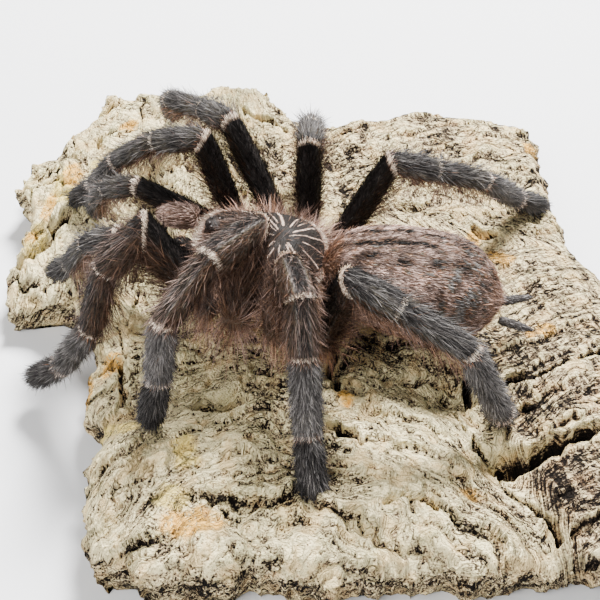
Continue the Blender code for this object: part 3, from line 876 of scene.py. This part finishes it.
def build_eyes():
    """Eight small eyes on a low mound at the front of the carapace."""
    shield = bpy.data.objects["carapace_shield"]
    points = points_of(shield)
    forward, left, up = body_place(points)
    f0, s0, half_long, half_wide, rise = EYE_MOUND

    nearest = np.argsort((forward - f0) ** 2 + (left - s0) ** 2 + (up < UNDERSIDE) * 9.0)[:4]
    seat = float(up[nearest].mean())
    mound = bmesh.new()
    ball(mound, FOVEA + FORE * f0 + LEFT * s0 + UP * seat,
         (FORE * half_long, LEFT * half_wide, UP * rise))
    beads = bmesh.new()
    for f, s, size in EYES:
        height = rise * math.sqrt(max(0.05, 1 - (f / half_long) ** 2 - (s / half_wide) ** 2))
        ball(beads, FOVEA + FORE * (f0 + f) + LEFT * (s0 + s) + UP * (seat + height),
             (FORE * size, LEFT * size, UP * size * 0.8))
    for name, bm, material in (("eye_mound", mound, "cuticle"), ("eyes", beads, "gloss")):
        mesh = bpy.data.meshes.new(name)
        bm.to_mesh(mesh)
        bm.free()
        mesh.materials.append(materials[material])
        mesh.shade_smooth()
        made = add_object(name, mesh)
        if name == "eye_mound":
            store(made, "tone", np.full(len(mesh.vertices), BLACK + 0.04))
        settle(made, "carapace" if name == "eye_mound" else "fang")


def build_coxae():
    skin = refined("coxae_sternum", "coxae_sternum_skin", 2, materials["cuticle"])
    points = points_of(skin)
    forward, left, up = body_place(points)
    outward = unit(forward[:, None] * FORE + left[:, None] * LEFT)
    low = smooth_step(-6.0, -10.0, up)
    comb = unit(outward * (0.9 - 0.6 * low)[:, None] - UP * (0.45 + 0.5 * low)[:, None])
    patch = noise(forward, left, 2.5, 11)
    top = smooth_step(-5.2, -4.8, up)
    dress(skin, comb, BROWN + 0.03 * patch,
          (13 * (1 - 0.3 * top) * (1 - 0.5 * low), 2.2, 0.6, np.where(patch > 0.2, BROWN, RUST), 0.45),
          (9.0 * (1 - 0.8 * smooth_step(-9.0, -11.0, up)), 4.4, 0.85 - 0.4 * low,
           np.where(patch > 0, TAN + 0.03, RUST + 0.05), 0.7))
    grow_hair(skin, "coxae_sternum_hair", 800, "coxae")
    settle(skin, "coxae", "coxae_sternum")


def build_jaws():
    for number, side in enumerate("lr"):
        skin = refined(f"chelicera_{side}", f"chelicera_{side}_skin", 2, materials["cuticle"])
        points = points_of(skin)
        axis = long_axis(points, FORE)
        patch = noise(points[:, 0] * 2, points[:, 2] * 2, 1.5, 21)
        # The right jaw has pale hair. The left one is nearly bald and black.
        if side == "r":
            skin_tone, density, tone, shade = BROWN, 30, MAUVE, 0.66 + 0.2 * patch
        else:
            skin_tone, density, tone, shade = BLACK, 9, GREY, 0.3
        dress(skin, np.tile(axis, (len(points), 1)), skin_tone,
              (density, 0.9, 0.25, tone + 0.06 * patch, shade), (1.5, 1.8, 0.5, TAN, 0.7))
        grow_hair(skin, f"chelicera_{side}_hair", 900 + number, "chelicera")
        settle(skin, "chelicera", f"chelicera_{side}")
        fang = refined(f"fang_{side}", f"fang_{side}_horn", 2, materials["gloss"])
        settle(fang, "fang", f"fang_{side}")


# Abdomen

TAIL_CUT, FRONT_REACH = 2.4, 2.6   # how much shorter at the tail and longer at the front, in millimetres
HALF_HEIGHT = 8.0
# Dark blots on the back: share of the length, millimetres to the side, and radius.
BLOTS = [(place, side * off, half) for place, off, half in
         ((0.22, 2.6, 0.7), (0.4, 3.4, 0.6), (0.58, 3.0, 0.6), (0.72, 2.2, 0.5)) for side in (1, -1)]


def shape_abdomen(skin):
    """The hair adds to the tail's length, so the skin stays a little short there."""
    points = points_of(skin)
    axis = long_axis(points, TAILWARDS)
    run = (points - points.mean(axis=0)) @ axis
    reach = run / run.max()
    pull = TAIL_CUT * smooth_step(0.1, 1.0, reach) + FRONT_REACH * smooth_step(0.2, -0.9, reach)
    move_points(skin, points - pull[:, None] * axis)
    return axis


def build_abdomen():
    skin = refined("abdomen", "abdomen_skin", 3, materials["cuticle"])
    axis = shape_abdomen(skin)
    points = points_of(skin)
    spine = points - points.mean(axis=0)
    across = unit(np.cross(axis, (0, 0, 1)))
    rise = np.cross(across, axis)
    run = spine @ axis
    along = (run - run.min()) / (run.max() - run.min())
    aside, height = spine @ across, spine @ rise
    round_place = aside + 0.6 * height
    back = smooth_step(-0.2, 0.7, height / HALF_HEIGHT)
    dash = 0.7 * noise(run * 0.4, round_place, 0.5, 33) + 0.45 * layered_noise(
        run * 0.6, round_place, 1.3, 31, 2)
    speck = smooth_step(0.2, 0.6, noise(run * 0.7, aside, 1.1, 35))
    # A broken dark line down the middle of the back.
    line = bump(aside - 0.35 * np.sin(along * 9), 0.55) * (height > 0)
    line = line * smooth_step(0.03, 0.1, along) * smooth_step(0.72, 0.5, along)
    line = line * smooth_step(-0.6, 0.1, noise(run, run * 0, 2.2, 37) + 0.3)
    blots = np.zeros(len(points))
    for place, off, half in BLOTS:
        blots = np.maximum(blots, bump(np.hypot((along - place) * 11, aside - off), half))
    tail = smooth_step(0.84, 0.98, along)
    front = smooth_step(0.12, 0.03, along)
    flank = smooth_step(0.1, -0.7, height / HALF_HEIGHT)
    grey_end = smooth_step(0.5, 0.85, along) * back
    rusty = np.maximum(np.maximum(tail, front), 0.75 * flank) + 0.15 * dash
    tone = np.where(rusty > 0.5, RUST + 0.03, MAUVE + 0.03 * dash)
    shade = 0.6 + 0.28 * dash - 0.2 * speck - 0.18 * grey_end - 0.1 * (rusty > 0.5)
    tone = np.where((line > 0.5) | (blots * back + 0.3 * dash > 0.6), CHARCOAL, tone)
    greyer = 0.7 * grey_end + 1.3 * noise(run * 0.4, round_place, 0.35, 39)
    greyed = (tone > MAUVE - 0.1) & (greyer > 0.75)
    tone = np.where(greyed, ASH, tone)
    shade = shade + 0.16 * greyed - 0.8 * line - 0.6 * blots * back
    comb = unit(np.tile(axis, (len(points), 1)) + 0.12 * rise * dash[:, None])
    dress(skin, comb, BROWN,
          (33 + 6 * back, 0.95 + 0.1 * tail + 0.2 * flank, 0.18 + 0.1 * tail, tone, shade),
          (0.6 + 6 * tail + 2.5 * flank + 4 * front, 1.7 + 0.5 * tail + 0.8 * front,
           0.35 + 0.2 * front, RUST + 0.1 + 0.06 * dash, 0.65))
    grow_hair(skin, "abdomen_hair", 1000, "abdomen", **{"Nap Width": 0.1, "Shade Spread": 0.22})
    settle(skin, "abdomen", "abdomen")


# The hairy spinnerets beside the CAD ones: how thick, how long, and how far back in millimetres.
SPINNERET_SHARE, SPINNERET_STRETCH, SPINNERET_SET_BACK = 1.25, 1.2, 1.3


def build_spinnerets():
    for number, side in enumerate("lr"):
        skin = refined(f"spinneret_{side}", f"spinneret_{side}_skin", 2, materials["cuticle"])
        points = points_of(skin)
        axis, centre = long_axis(points, TAILWARDS), points.mean(axis=0)
        spine = points - centre
        run = (spine @ axis)[:, None] * axis
        points = centre - SPINNERET_SET_BACK * axis + SPINNERET_STRETCH * run + (
            SPINNERET_SHARE * (spine - run))
        move_points(skin, points)
        dress(skin, np.tile(axis, (len(points), 1)), GREY, (50, 0.6, 0.2, GREY + 0.05, 0.55),
              (1.0, 1.0, 0.5, GREY, 0.6))
        grow_hair(skin, f"spinneret_{side}_hair", 1100 + number, "spinneret")
        settle(skin, "spinneret", f"spinneret_{side}")


# Cork bark

BARK_CELLS = 288             # squares along each side of the top
CELL_PITCH = 0.42            # about the width of such a square, in millimetres
UNDER_CELLS = 24             # squares along each side of the underside
GRAIN = math.radians(24)
BARK_CENTRE = (0.0, 12.0)    # in the middle of the outline, in millimetres
# Degrees between outline points, how far off a corner of the solid may be, and millimetres inwards.
OUTLINE_STEP, OUTLINE_SLACK, OUTLINE_DEPTH = 3, 0.9, 1.2
GRID_ROUNDS = 60             # rounds that even out a grid's inner points
# The top's height where the CAD slab has no top, what is too low for a top, and the least height kept.
PLAIN_TOP, LOWEST_TOP, LEAST_HEIGHT = 6.5, 3.0, 2.2
TOP_ROUNDS, BROAD_ROUNDS, FINE_ROUNDS = 80, 26, 3   # rounds of softening
EDGE_DROP, EDGE_REACH = 1.4, 1.3                    # how the top falls at its edge
WALL_TONE, UNDER_TONE = 0.56, 0.42
WALL_SLOPE, WALL_INSET = 1.4, 0.2    # how far the walls run in towards the foot, and all over
CORNER_STEPS = 8                     # the teeth of the outline fade out over these steps at a corner
# Cracks and holes: half width, depth, and the points they run through.
CRACKS = (
    (1.0, 3.2, ((-48, 15), (-44.3, 17.5), (-41.4, 21.3), (-38.8, 25.7))),
    (0.5, 1.8, ((-43.5, 37), (-41.1, 39.9), (-37.6, 45.4), (-36, 48))),
    (1.3, 4.0, ((-14.5, -19.2), (-11, -19.3), (-9, -18.2))),
    (0.8, 2.2, ((30.2, 21.5), (32, 20.2), (33.6, 20.0))),
    (0.6, 2.0, ((-10.5, 53.3), (-5.7, 51.2), (0, 46.6))),
    (0.8, 2.8, ((22.9, -6.5), (26.9, -6.5), (26, -16), (22.6, -14))),
    (0.35, 1.3, ((23.4, -17.6), (25.2, -22.8), (28.1, -27.8), (29.4, -32.2), (32.4, -34.5), (36.5, -41))),
    (1.9, 5.2, ((30, -28.1), (33, -26.6), (37, -25))),
    (1.1, 4.0, ((36, -25.4), (41.1, -23.5), (45.1, -21.8))),
    (0.4, 1.6, ((45.1, -21.8), (50, -20.5), (56, -18.5))),
    (0.32, 1.3, ((26, -16.5), (32, -13.5), (40, -11.5), (52, -6))),
    (0.45, 1.2, ((-33, -14.5), (-27.5, -14.2), (-24, -12), (-22.5, -8))),
    (0.5, 1.4, ((-27.5, -20), (-27, -15), (-28.5, -10))),
    (0.7, 2.2, ((5.5, -4), (4.5, -9), (6, -14), (9, -16.5))),
    (0.5, 1.4, ((5.5, -12.6), (12, -12.2), (21.7, -11.7))),
    (0.5, 1.4, ((12, -37.5), (16, -36.2), (19, -38.5))),
)
CRACK_SHOULDER, CRACK_REACH = 0.8, 2.4   # the crust stands a little higher beside a crack
HOLLOWS = (  # broad dark dips: x, y, radius, depth
    (5.4, -8.5, 3.4, 3.2), (24.6, -11.5, 2.6, 1.8), (-24, -19, 2.2, 1.0), (-11.5, -19, 1.6, 1.4),
    (31.9, 20.4, 1.5, 1.6), (24.5, -36.5, 1.6, 1.2))
# Painted shade and painted shadow in the crust's colour, at hollows and cracks and under the spider's body:
# x, y, radius, how much darker.
PAINTED_SHADE_SPOTS = ((36, -30, 5.0, 0.4), (30.5, -31.5, 3.5, 0.35), (-22, -20.5, 3.0, 0.25),
         (-14, -22, 3.0, 0.2), (-4, -21, 3.5, 0.15), (6, -9, 4.0, 0.4), (22, -9, 4.5, 0.3),
         (-27, -33, 4.5, 0.2), (10, -14, 6.0, 0.16), (-20, -40, 5.0, 0.1), (12, -5, 5.0, 0.35),
         (3, -4, 4.0, 0.3), (-8, -6, 5.0, 0.3), (-19, -2, 4.0, 0.2))
# Patches of colour: x, y, half width, half depth.
AMBER = ((-40.5, 33, 1.6, 4.2), (-44.3, 26.5, 1.4, 3.8), (-47, 21, 1.0, 1.6), (29.7, 18.7, 1.5, 2.2),
         (34.2, 13.1, 2.4, 2.2), (38.9, -3.6, 1.5, 1.3), (-29.6, -9.3, 1.8, 1.8),
         (24.1, -34.7, 1.6, 0.9), (-32.1, 48.1, 2.2, 1.2), (6.9, -17.4, 1.2, 1.6),
         (-15, -40.5, 3.6, 2.4), (-33.5, -12, 1.0, 3.0), (36.5, -4.2, 0.9, 1.2), (43, 44, 1.6, 1.6))
YELLOW = ((-46, 20, 2.2, 3.2), (-42, 30, 3.0, 4.5), (-36, 36, 1.6, 3.0), (-24.4, -23.9, 2.8, 1.5),
          (-18.1, -36.5, 2.4, 1.8), (-29, -22.8, 1.6, 1.1), (-16.5, -29.5, 1.7, 3.0))
NO_PATCH_BELOW = 1.0         # millimetres


def bark_outline(node, centre):
    """The slab's edge, seen from above, from the CAD solid."""
    points = points_of(node)
    away = points[:, :2] - centre
    reach, turn = np.hypot(away[:, 0], away[:, 1]), np.degrees(np.arctan2(away[:, 1], away[:, 0]))
    outline = []
    for heading in range(0, 360, OUTLINE_STEP):
        near = np.abs((turn - heading + 180) % 360 - 180) < OUTLINE_SLACK
        rows = np.flatnonzero(near & (reach > reach[near].max() - OUTLINE_DEPTH))
        outline.append(points[rows[np.argmax(points[rows, 2])], :2])
    return np.array(outline)


def along_side(outline, start, end, count):
    """Points at even steps along the outline from one corner to the next."""
    if end <= start:
        end += len(outline)
    part = outline[np.arange(start, end + 1) % len(outline)]
    walked = np.concatenate(([0], np.cumsum(np.hypot(*np.diff(part, axis=0).T))))
    even = np.linspace(0, walked[-1], count + 1)
    return np.stack([np.interp(even, walked, part[:, k]) for k in (0, 1)], axis=1)


def fill_grid(low, right, high, left):
    """A grid of points inside four sides, each given from left to right or from low to high."""
    count = len(low)
    u = np.linspace(0, 1, count)[None, :, None]
    v = np.linspace(0, 1, count)[:, None, None]
    grid = (1 - v) * low[None] + v * high[None] + (1 - u) * left[:, None] + u * right[:, None]
    grid -= ((1 - u) * (1 - v) * low[0] + u * (1 - v) * low[-1] + (1 - u) * v * high[0] + u * v * high[-1])
    for _ in range(GRID_ROUNDS):
        grid[1:-1, 1:-1] = (grid[:-2, 1:-1] + grid[2:, 1:-1] + grid[1:-1, :-2] + grid[1:-1, 2:]) / 4
    return grid


def soften(height, rounds):
    """Each round blends a point with the mean of its four neighbours."""
    for _ in range(rounds):
        padded = np.pad(height, 1, mode="edge")
        height = (padded[:-2, 1:-1] + padded[2:, 1:-1] + padded[1:-1, :-2] + padded[1:-1, 2:]
                  + 4 * height) / 8
    return height


def ledge(phase):
    """0 to 1 within each step: a steep rise, and then a slow fall."""
    part = phase - np.floor(phase)
    return smooth_step(0.0, 0.08, part) * (1 - 0.9 * part)


def bark_regions(x, y):
    """How far each point belongs to the right, far, left and front parts of the slab."""
    right = smooth_step(19, 25, x + 0.35 * y) * smooth_step(34, 14, y)
    far = smooth_step(20, 32, y + 0.1 * x) * smooth_step(-14, -4, x)
    left = smooth_step(-18, -28, x - 0.2 * y) * smooth_step(-24, -12, y)
    return right, far, left, np.clip(1 - right - far - left, 0, 1)


def bark_layers(x, y):
    """Millimetres across and along the crust's layers, which bend differently in each part."""
    right, far, left, front = bark_regions(x, y)
    along = x * math.cos(GRAIN) + y * math.sin(GRAIN)
    across = y * math.cos(GRAIN) - x * math.sin(GRAIN)
    sway = layered_noise(x, y, 7.0, 41, 4, 0.5)
    fold = layered_noise(x + 2.0 * sway, y, 5.0, 51, 3, 0.5)
    layer = (right * (across + 20 + 0.5 * sway + 0.35 * fold)
             + far * (across + 9 + 0.9 * sway)
             + front * (y + 0.014 * (x + 3) ** 2 + 1.6 * sway + 0.8 * fold)
             + left * (0.9 * x + 0.45 * y + 25 + 0.9 * sway + 0.5 * fold))
    run = (right * (along + 12) + far * (along + 12) + front * (x + 1.5 * fold) + left * (y - 22 + 1.5 * fold)
           + 0.3 * sway)
    return layer, run


def bark_detail(x, y, layer, run):
    """What the weathered crust adds to the slab's height, in millimetres."""
    right, far, left, front = bark_regions(x, y)
    jag = 0.5 * noise(x, y, 1.3, 91) + 0.3 * noise(x, y, 0.7, 92)
    swell = 0.7 + 0.75 * noise(run, layer, 8.0, 93)
    ridged = right * (0.35 + 0.65 * smooth_step(2, -14, y))
    wave = 1.6 * noise(x, y, 6.0, 94)
    height = 0.0
    # Striations across the ridges and rows.
    stripes = noise(run, layer * 0.16, 0.75, 101) + 0.8 * noise(run + 0.3 * jag, layer * 0.2, 1.6, 103)
    # Stepped layers: place, distance between steps, height of a step.
    for share, pitch, rise in ((ridged, 5.2, 2.1), (ridged, 2.4, 0.35), (far, 5.2, 1.2), (far, 2.1, 0.4),
                               (front, 7.5, 1.7), (front, 3.1, 0.75), (left, 6.0, 1.5), (left, 2.6, 0.3)):
        height = height + share * rise * swell * ledge(
            (layer + jag + wave * (front + left) + 0.12 * stripes * (right + far)) / pitch)
    height = height + (0.15 * right + 0.12 * far) * stripes
    # Lumps, then small ones drawn out along the layers.
    height = height + (0.8 * front + 0.4 * left) * layered_noise(x, y, 7.5, 61, 2)
    height = height + 0.3 * (1 - 0.5 * right - 0.6 * left) * layered_noise(layer * 1.6, run * 0.7, 2.6, 71, 3)
    height = height + 0.1 * layered_noise(x, y, 1.0, 81, 2)
    # Small pits, in patches.
    height = height - 1.0 * smooth_step(0.45, 0.75, noise(layer * 1.3, run * 0.8, 1.5, 83)) * smooth_step(
        0.0, 0.5, noise(x, y, 9.0, 85)) * (1 - right)
    # Plates with open joints on the left.
    edge, number = cell_edges(x + 0.5 * jag, y + 0.5 * jag, 7.0, 11.0, 111)
    height = height + (1.6 * (number - 0.5) - 1.3 * bump(edge, 0.045)) * left
    # Cracks and holes at their own places.
    wander_x, wander_y = 0.6 * noise(x, y, 1.8, 131), 0.6 * noise(x, y, 1.8, 133)
    for half_width, depth, path in CRACKS:
        away = path_distance(x + wander_x + 0.3 * jag, y + wander_y, path)
        height = height + CRACK_SHOULDER * bump(away, CRACK_REACH) - (depth + CRACK_SHOULDER) * smooth_step(
            1.3 * half_width, 0.5 * half_width, away)
    for cx, cy, radius, depth in HOLLOWS:
        height = height - depth * bump(np.hypot(x - cx, y - cy), radius)
    return height, stripes


def patches(x, y, places, seed):
    """1 inside ragged ovals and 0 outside them."""
    wander = 1.2 * layered_noise(x, y, 1.8, seed, 3)
    total = np.zeros(np.shape(x))
    for cx, cy, rx, ry in places:
        away = np.hypot((x - cx) / rx, (y - cy) / ry)
        total = np.maximum(total, smooth_step(1.25, 0.75, away + wander * 0.22))
    return total


# The height of each ring down the slab's walls, as a share of the rim's height.
WALL_STEPS = (0.95, 0.87, 0.78, 0.67, 0.55, 0.43, 0.31, 0.2, 0.08, 0.0)
# Along the front, right, far and left sides: how far the edge's teeth stand out, and how wide they are.
EDGE_ROUGHNESS = (0.8, 0.7, 1.2, 2.1)
TOOTH_WIDTH = (3.4, 3.4, 3.4, 4.6)
# Single teeth: side, place and half width in steps along it, and how far it stands out in millimetres.
TEETH = ((3, 144, 10, 3.4), (3, 128, 8, 1.4), (3, 69, 5, 1.8), (3, 58, 5, 2.4), (3, 39, 7, 2.8),
         (3, 28, 5, 2.0), (3, 14, 6, 2.0), (2, 278, 7, 2.2), (2, 260, 5, 1.8))


def rough_sides(outline, low, high):
    """The slab's four sides in even steps, with teeth that fade out at the corners."""
    corners = [int(np.argmin(np.hypot(outline[:, 0] - cx / MM, outline[:, 1] - cy / MM)))
               for cx, cy in ((low.x, low.y), (high.x, low.y), (high.x, high.y), (low.x, high.y))]
    steps = np.arange(BARK_CELLS + 1)
    fade = np.minimum(1, np.minimum(steps, steps[::-1]) / CORNER_STEPS)
    sides = []
    for k, (start, end) in enumerate(zip(corners, corners[1:] + corners[:1])):
        side = along_side(outline, start, end, BARK_CELLS)
        row = np.full(len(steps), 7.0 * k)
        push = EDGE_ROUGHNESS[k] * layered_noise(steps * CELL_PITCH, row, TOOTH_WIDTH[k], 141 + k, 4) - 0.3
        for place, half, reach in [tooth[1:] for tooth in TEETH if tooth[0] == k]:
            push = push + reach * bump(steps - place, half)
        sides.append(side + outwards(np.gradient(side, axis=0)) * (push * fade)[:, None])
    return sides


def outwards(ahead):
    """Level directions to the right of the way along an edge."""
    return unit(np.stack([ahead[:, 1], -ahead[:, 0]], axis=1))


def cad_top(node, x, y, start):
    """The height of the CAD slab's top at each point, softened, in millimetres."""
    tree = BVHTree.FromPolygons([v.co.copy() for v in node.data.vertices],
                                [tuple(p.vertices) for p in node.data.polygons])
    down = Vector(DOWN)
    top = np.full(x.shape, PLAIN_TOP)
    for place in np.ndindex(x.shape):
        hit = tree.ray_cast(Vector((x[place] * MM, y[place] * MM, start)), down)[0]
        if hit is not None and hit.z / MM >= LOWEST_TOP:
            top[place] = hit.z / MM
    return soften(top, TOP_ROUNDS)


def crust_tone_and_painted_shade(x, y, height, stripes):
    """How light the crust is, with painted shade: hollows and folds, broad and fine, are painted darker than
    ridges.
    """
    right, far, left, front = bark_regions(x, y)
    relief, fine_relief = height - soften(height, BROAD_ROUNDS), height - soften(height, FINE_ROUNDS)
    # Painted shade: the broad and the fine relief darken the hollows and folds.
    crust = 0.7 + (0.36 + 0.16 * left) * np.clip(relief, -2, 0.9) + 0.9 * np.clip(fine_relief, -0.8, 0.25)
    crust = crust + 0.2 * (1 - 0.5 * right) * layered_noise(x, y, 9, 151, 4)
    crust = crust + 0.06 * stripes * (right + 0.7 * far)
    crust = crust + 0.34 * front + 0.04 * far + 0.38 * left - 0.12 * right * smooth_step(5, -10, y)
    # Painted shade at hollows and cracks, and painted shadow under the spider's body.
    for cx, cy, radius, depth in PAINTED_SHADE_SPOTS:
        crust = crust - depth * bump(np.hypot(x - cx, y - cy), radius)
    return crust


def squares(index):
    """The faces between the rows and columns of a grid of point numbers."""
    return np.stack([index[:-1, :-1], index[:-1, 1:], index[1:, 1:], index[1:, :-1]],
                    axis=-1).reshape(-1, 4).tolist()


def border(index):
    """The point numbers around a grid, once."""
    return np.concatenate([index[0, :-1], index[:-1, -1], index[-1, :0:-1], index[:0:-1, 0]])


def soften_ring(values, rounds):
    """Directions round a closed ring, each turned towards its neighbours."""
    for _ in range(rounds):
        values = (np.roll(values, 1, axis=0) + 2 * values + np.roll(values, -1, axis=0)) / 4
    return unit(values)


def add_walls(points, tones, faces, ring):
    """Adds rings of points down the slab's sides and returns the lowest ring."""
    rim = points[0][ring]
    out = soften_ring(outwards(np.roll(rim[:, :2], -1, axis=0) - np.roll(rim[:, :2], 1, axis=0)), 6)
    walked = np.arange(len(ring)) * CELL_PITCH
    total = len(points[0])
    for share in WALL_STEPS:
        z = rim[:, 2] * share
        layer = 0.5 * noise(walked * 0.4, z, 0.9, 161) + 0.35 * layered_noise(walked, z, 2.0, 163, 3)
        push = layer * np.minimum(1, share * 6) - WALL_SLOPE * (1 - share) ** 2 - WALL_INSET
        points.append(np.column_stack([rim[:, :2] + out * push[:, None], z]))
        tones.append(WALL_TONE + 0.3 * layer)
        here = total + np.arange(len(ring))
        faces += np.stack([ring, here, np.roll(here, -1), np.roll(ring, -1)], axis=1).tolist()
        ring, total = here, total + len(ring)
    return ring


def add_underside(points, tones, faces, ring):
    """Adds a coarse flat grid inside the lowest ring."""
    cells, step = UNDER_CELLS, BARK_CELLS // UNDER_CELLS
    coarse = points[-1][::step, :2]
    inner = coarse + (coarse.mean(axis=0) - coarse) * 0.04
    inner = np.vstack([inner, inner[:1]])
    near, right, far, left = [inner[k * cells:(k + 1) * cells + 1] for k in range(4)]
    under = fill_grid(near, right, far[::-1], left[::-1]).reshape(-1, 2)
    index = ring[-1] + 1 + np.arange(len(under)).reshape(cells + 1, cells + 1)
    points.append(np.column_stack([under, np.zeros(len(under))]))
    tones.append(np.full(len(under), UNDER_TONE))
    faces += squares(index.T)
    edge = border(index)
    for k in range(len(edge)):
        outer = [int(ring[(k * step + m) % len(ring)]) for m in range(step + 1)]
        faces.append([int(edge[k]), int(edge[(k + 1) % len(edge)])] + outer[::-1])


def build_bark():
    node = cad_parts["cork_bark"]
    low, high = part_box("cork_bark")
    near, right, far, left = rough_sides(bark_outline(node, np.array(BARK_CENTRE)), low, high)
    grid = fill_grid(near, right, far[::-1], left[::-1])
    x, y = grid[..., 0], grid[..., 1]
    detail, stripes = bark_detail(x, y, *bark_layers(x, y))
    steps = np.arange(BARK_CELLS + 1)
    from_end = np.minimum(steps, steps[::-1])
    inset = np.minimum.outer(from_end, from_end) * CELL_PITCH
    height = cad_top(node, x, y, high.z + 10 * MM) + detail - EDGE_DROP * bump(inset, EDGE_REACH)
    height = np.maximum(height, LEAST_HEIGHT)
    index = np.arange(x.size).reshape(x.shape)
    points = [np.stack([x.ravel(), y.ravel(), height.ravel()], axis=1)]
    tones = [crust_tone_and_painted_shade(x, y, height, stripes).ravel()]
    faces = squares(index)
    lowest = add_walls(points, tones, faces, border(index))
    add_underside(points, tones, faces, lowest)
    points = np.concatenate(points)
    slab = new_mesh_object("cork_slab", points, faces, materials["bark"])
    x, y, z = points.T
    layer, run = bark_layers(x, y)
    right, far = bark_regions(x, y)[:2]
    outside = z > NO_PATCH_BELOW
    for name, values in (("crust", np.concatenate(tones)), ("layer", layer - 0.7 * z), ("run", run),
                         ("stripe", right + 0.7 * far),
                         ("amber", patches(x, y, AMBER, 171) * outside),
                         ("yellow", patches(x, y, YELLOW, 173) * outside)):
        store(slab, name, values)
    settle(slab, "cork_bark", "cork_bark")


# Stage

CAMERA_PLACE = (0.0, -0.1382, 0.1580)
CAMERA_TILT = math.radians(44)
CAMERA_LENS, SENSOR_WIDTH = 75.0, 36.0   # millimetres
FLOOR_SIZE = 6.0
# Name, place, size and power of each lamp, and the point that they shine at.
LAMPS = (("key", (0.15, 0.37, 0.56), 0.2, 27.0), ("fill", (-0.26, -0.30, 0.42), 0.35, 3.6))
AIM = Vector((0, 0, 0.015))
SKY, SKY_STRENGTH = (0.95, 0.97, 1.0, 1), 0.36


def build_stage():
    bpy.ops.mesh.primitive_plane_add(size=FLOOR_SIZE, location=(0, 0, 0))
    floor = bpy.context.object
    floor.name = "floor"
    floor.data.materials.append(materials["floor"])
    camera = bpy.data.cameras.new("camera")
    camera.lens = CAMERA_LENS
    camera.sensor_width = SENSOR_WIDTH
    camera.clip_start = 0.01
    seat = add_object("camera", camera)
    seat.location = CAMERA_PLACE
    seat.rotation_euler = (CAMERA_TILT, 0.0, 0.0)
    bpy.context.scene.camera = seat
    for name, place, size, power in LAMPS:
        light = bpy.data.lights.new(name, "AREA")
        light.size = size
        light.energy = power
        lamp = add_object(name, light)
        lamp.location = place
        lamp.rotation_euler = (AIM - Vector(place)).to_track_quat("-Z", "Y").to_euler()
    world = bpy.data.worlds.new("studio")
    bpy.context.scene.world = world
    world.use_nodes = True
    background = world.node_tree.nodes["Background"]
    background.inputs["Color"].default_value = SKY
    background.inputs["Strength"].default_value = SKY_STRENGTH


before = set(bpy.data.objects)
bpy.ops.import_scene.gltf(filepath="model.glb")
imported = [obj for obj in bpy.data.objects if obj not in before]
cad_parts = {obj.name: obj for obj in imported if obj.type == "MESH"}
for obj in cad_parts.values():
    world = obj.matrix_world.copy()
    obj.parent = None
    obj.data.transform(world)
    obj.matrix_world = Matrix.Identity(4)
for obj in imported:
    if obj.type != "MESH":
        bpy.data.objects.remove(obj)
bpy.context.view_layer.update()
materials = {"hair": hair_material(), "cuticle": cuticle_material(), "gloss": gloss_material(),
             "bark": bark_material(), "floor": floor_material()}
nap_blade, bristle_blade = make_blade("nap_blade", 2), make_blade("bristle_blade", 3)
hair_tree = build_hair_tree()
for turn, limb_name in enumerate(LIMBS):
    build_limb(limb_name, 100 + turn)
build_carapace()
build_eyes()
build_coxae()
build_jaws()
build_abdomen()
build_spinnerets()
build_bark()
for blade in (nap_blade, bristle_blade):
    bpy.data.objects.remove(blade)
build_stage()
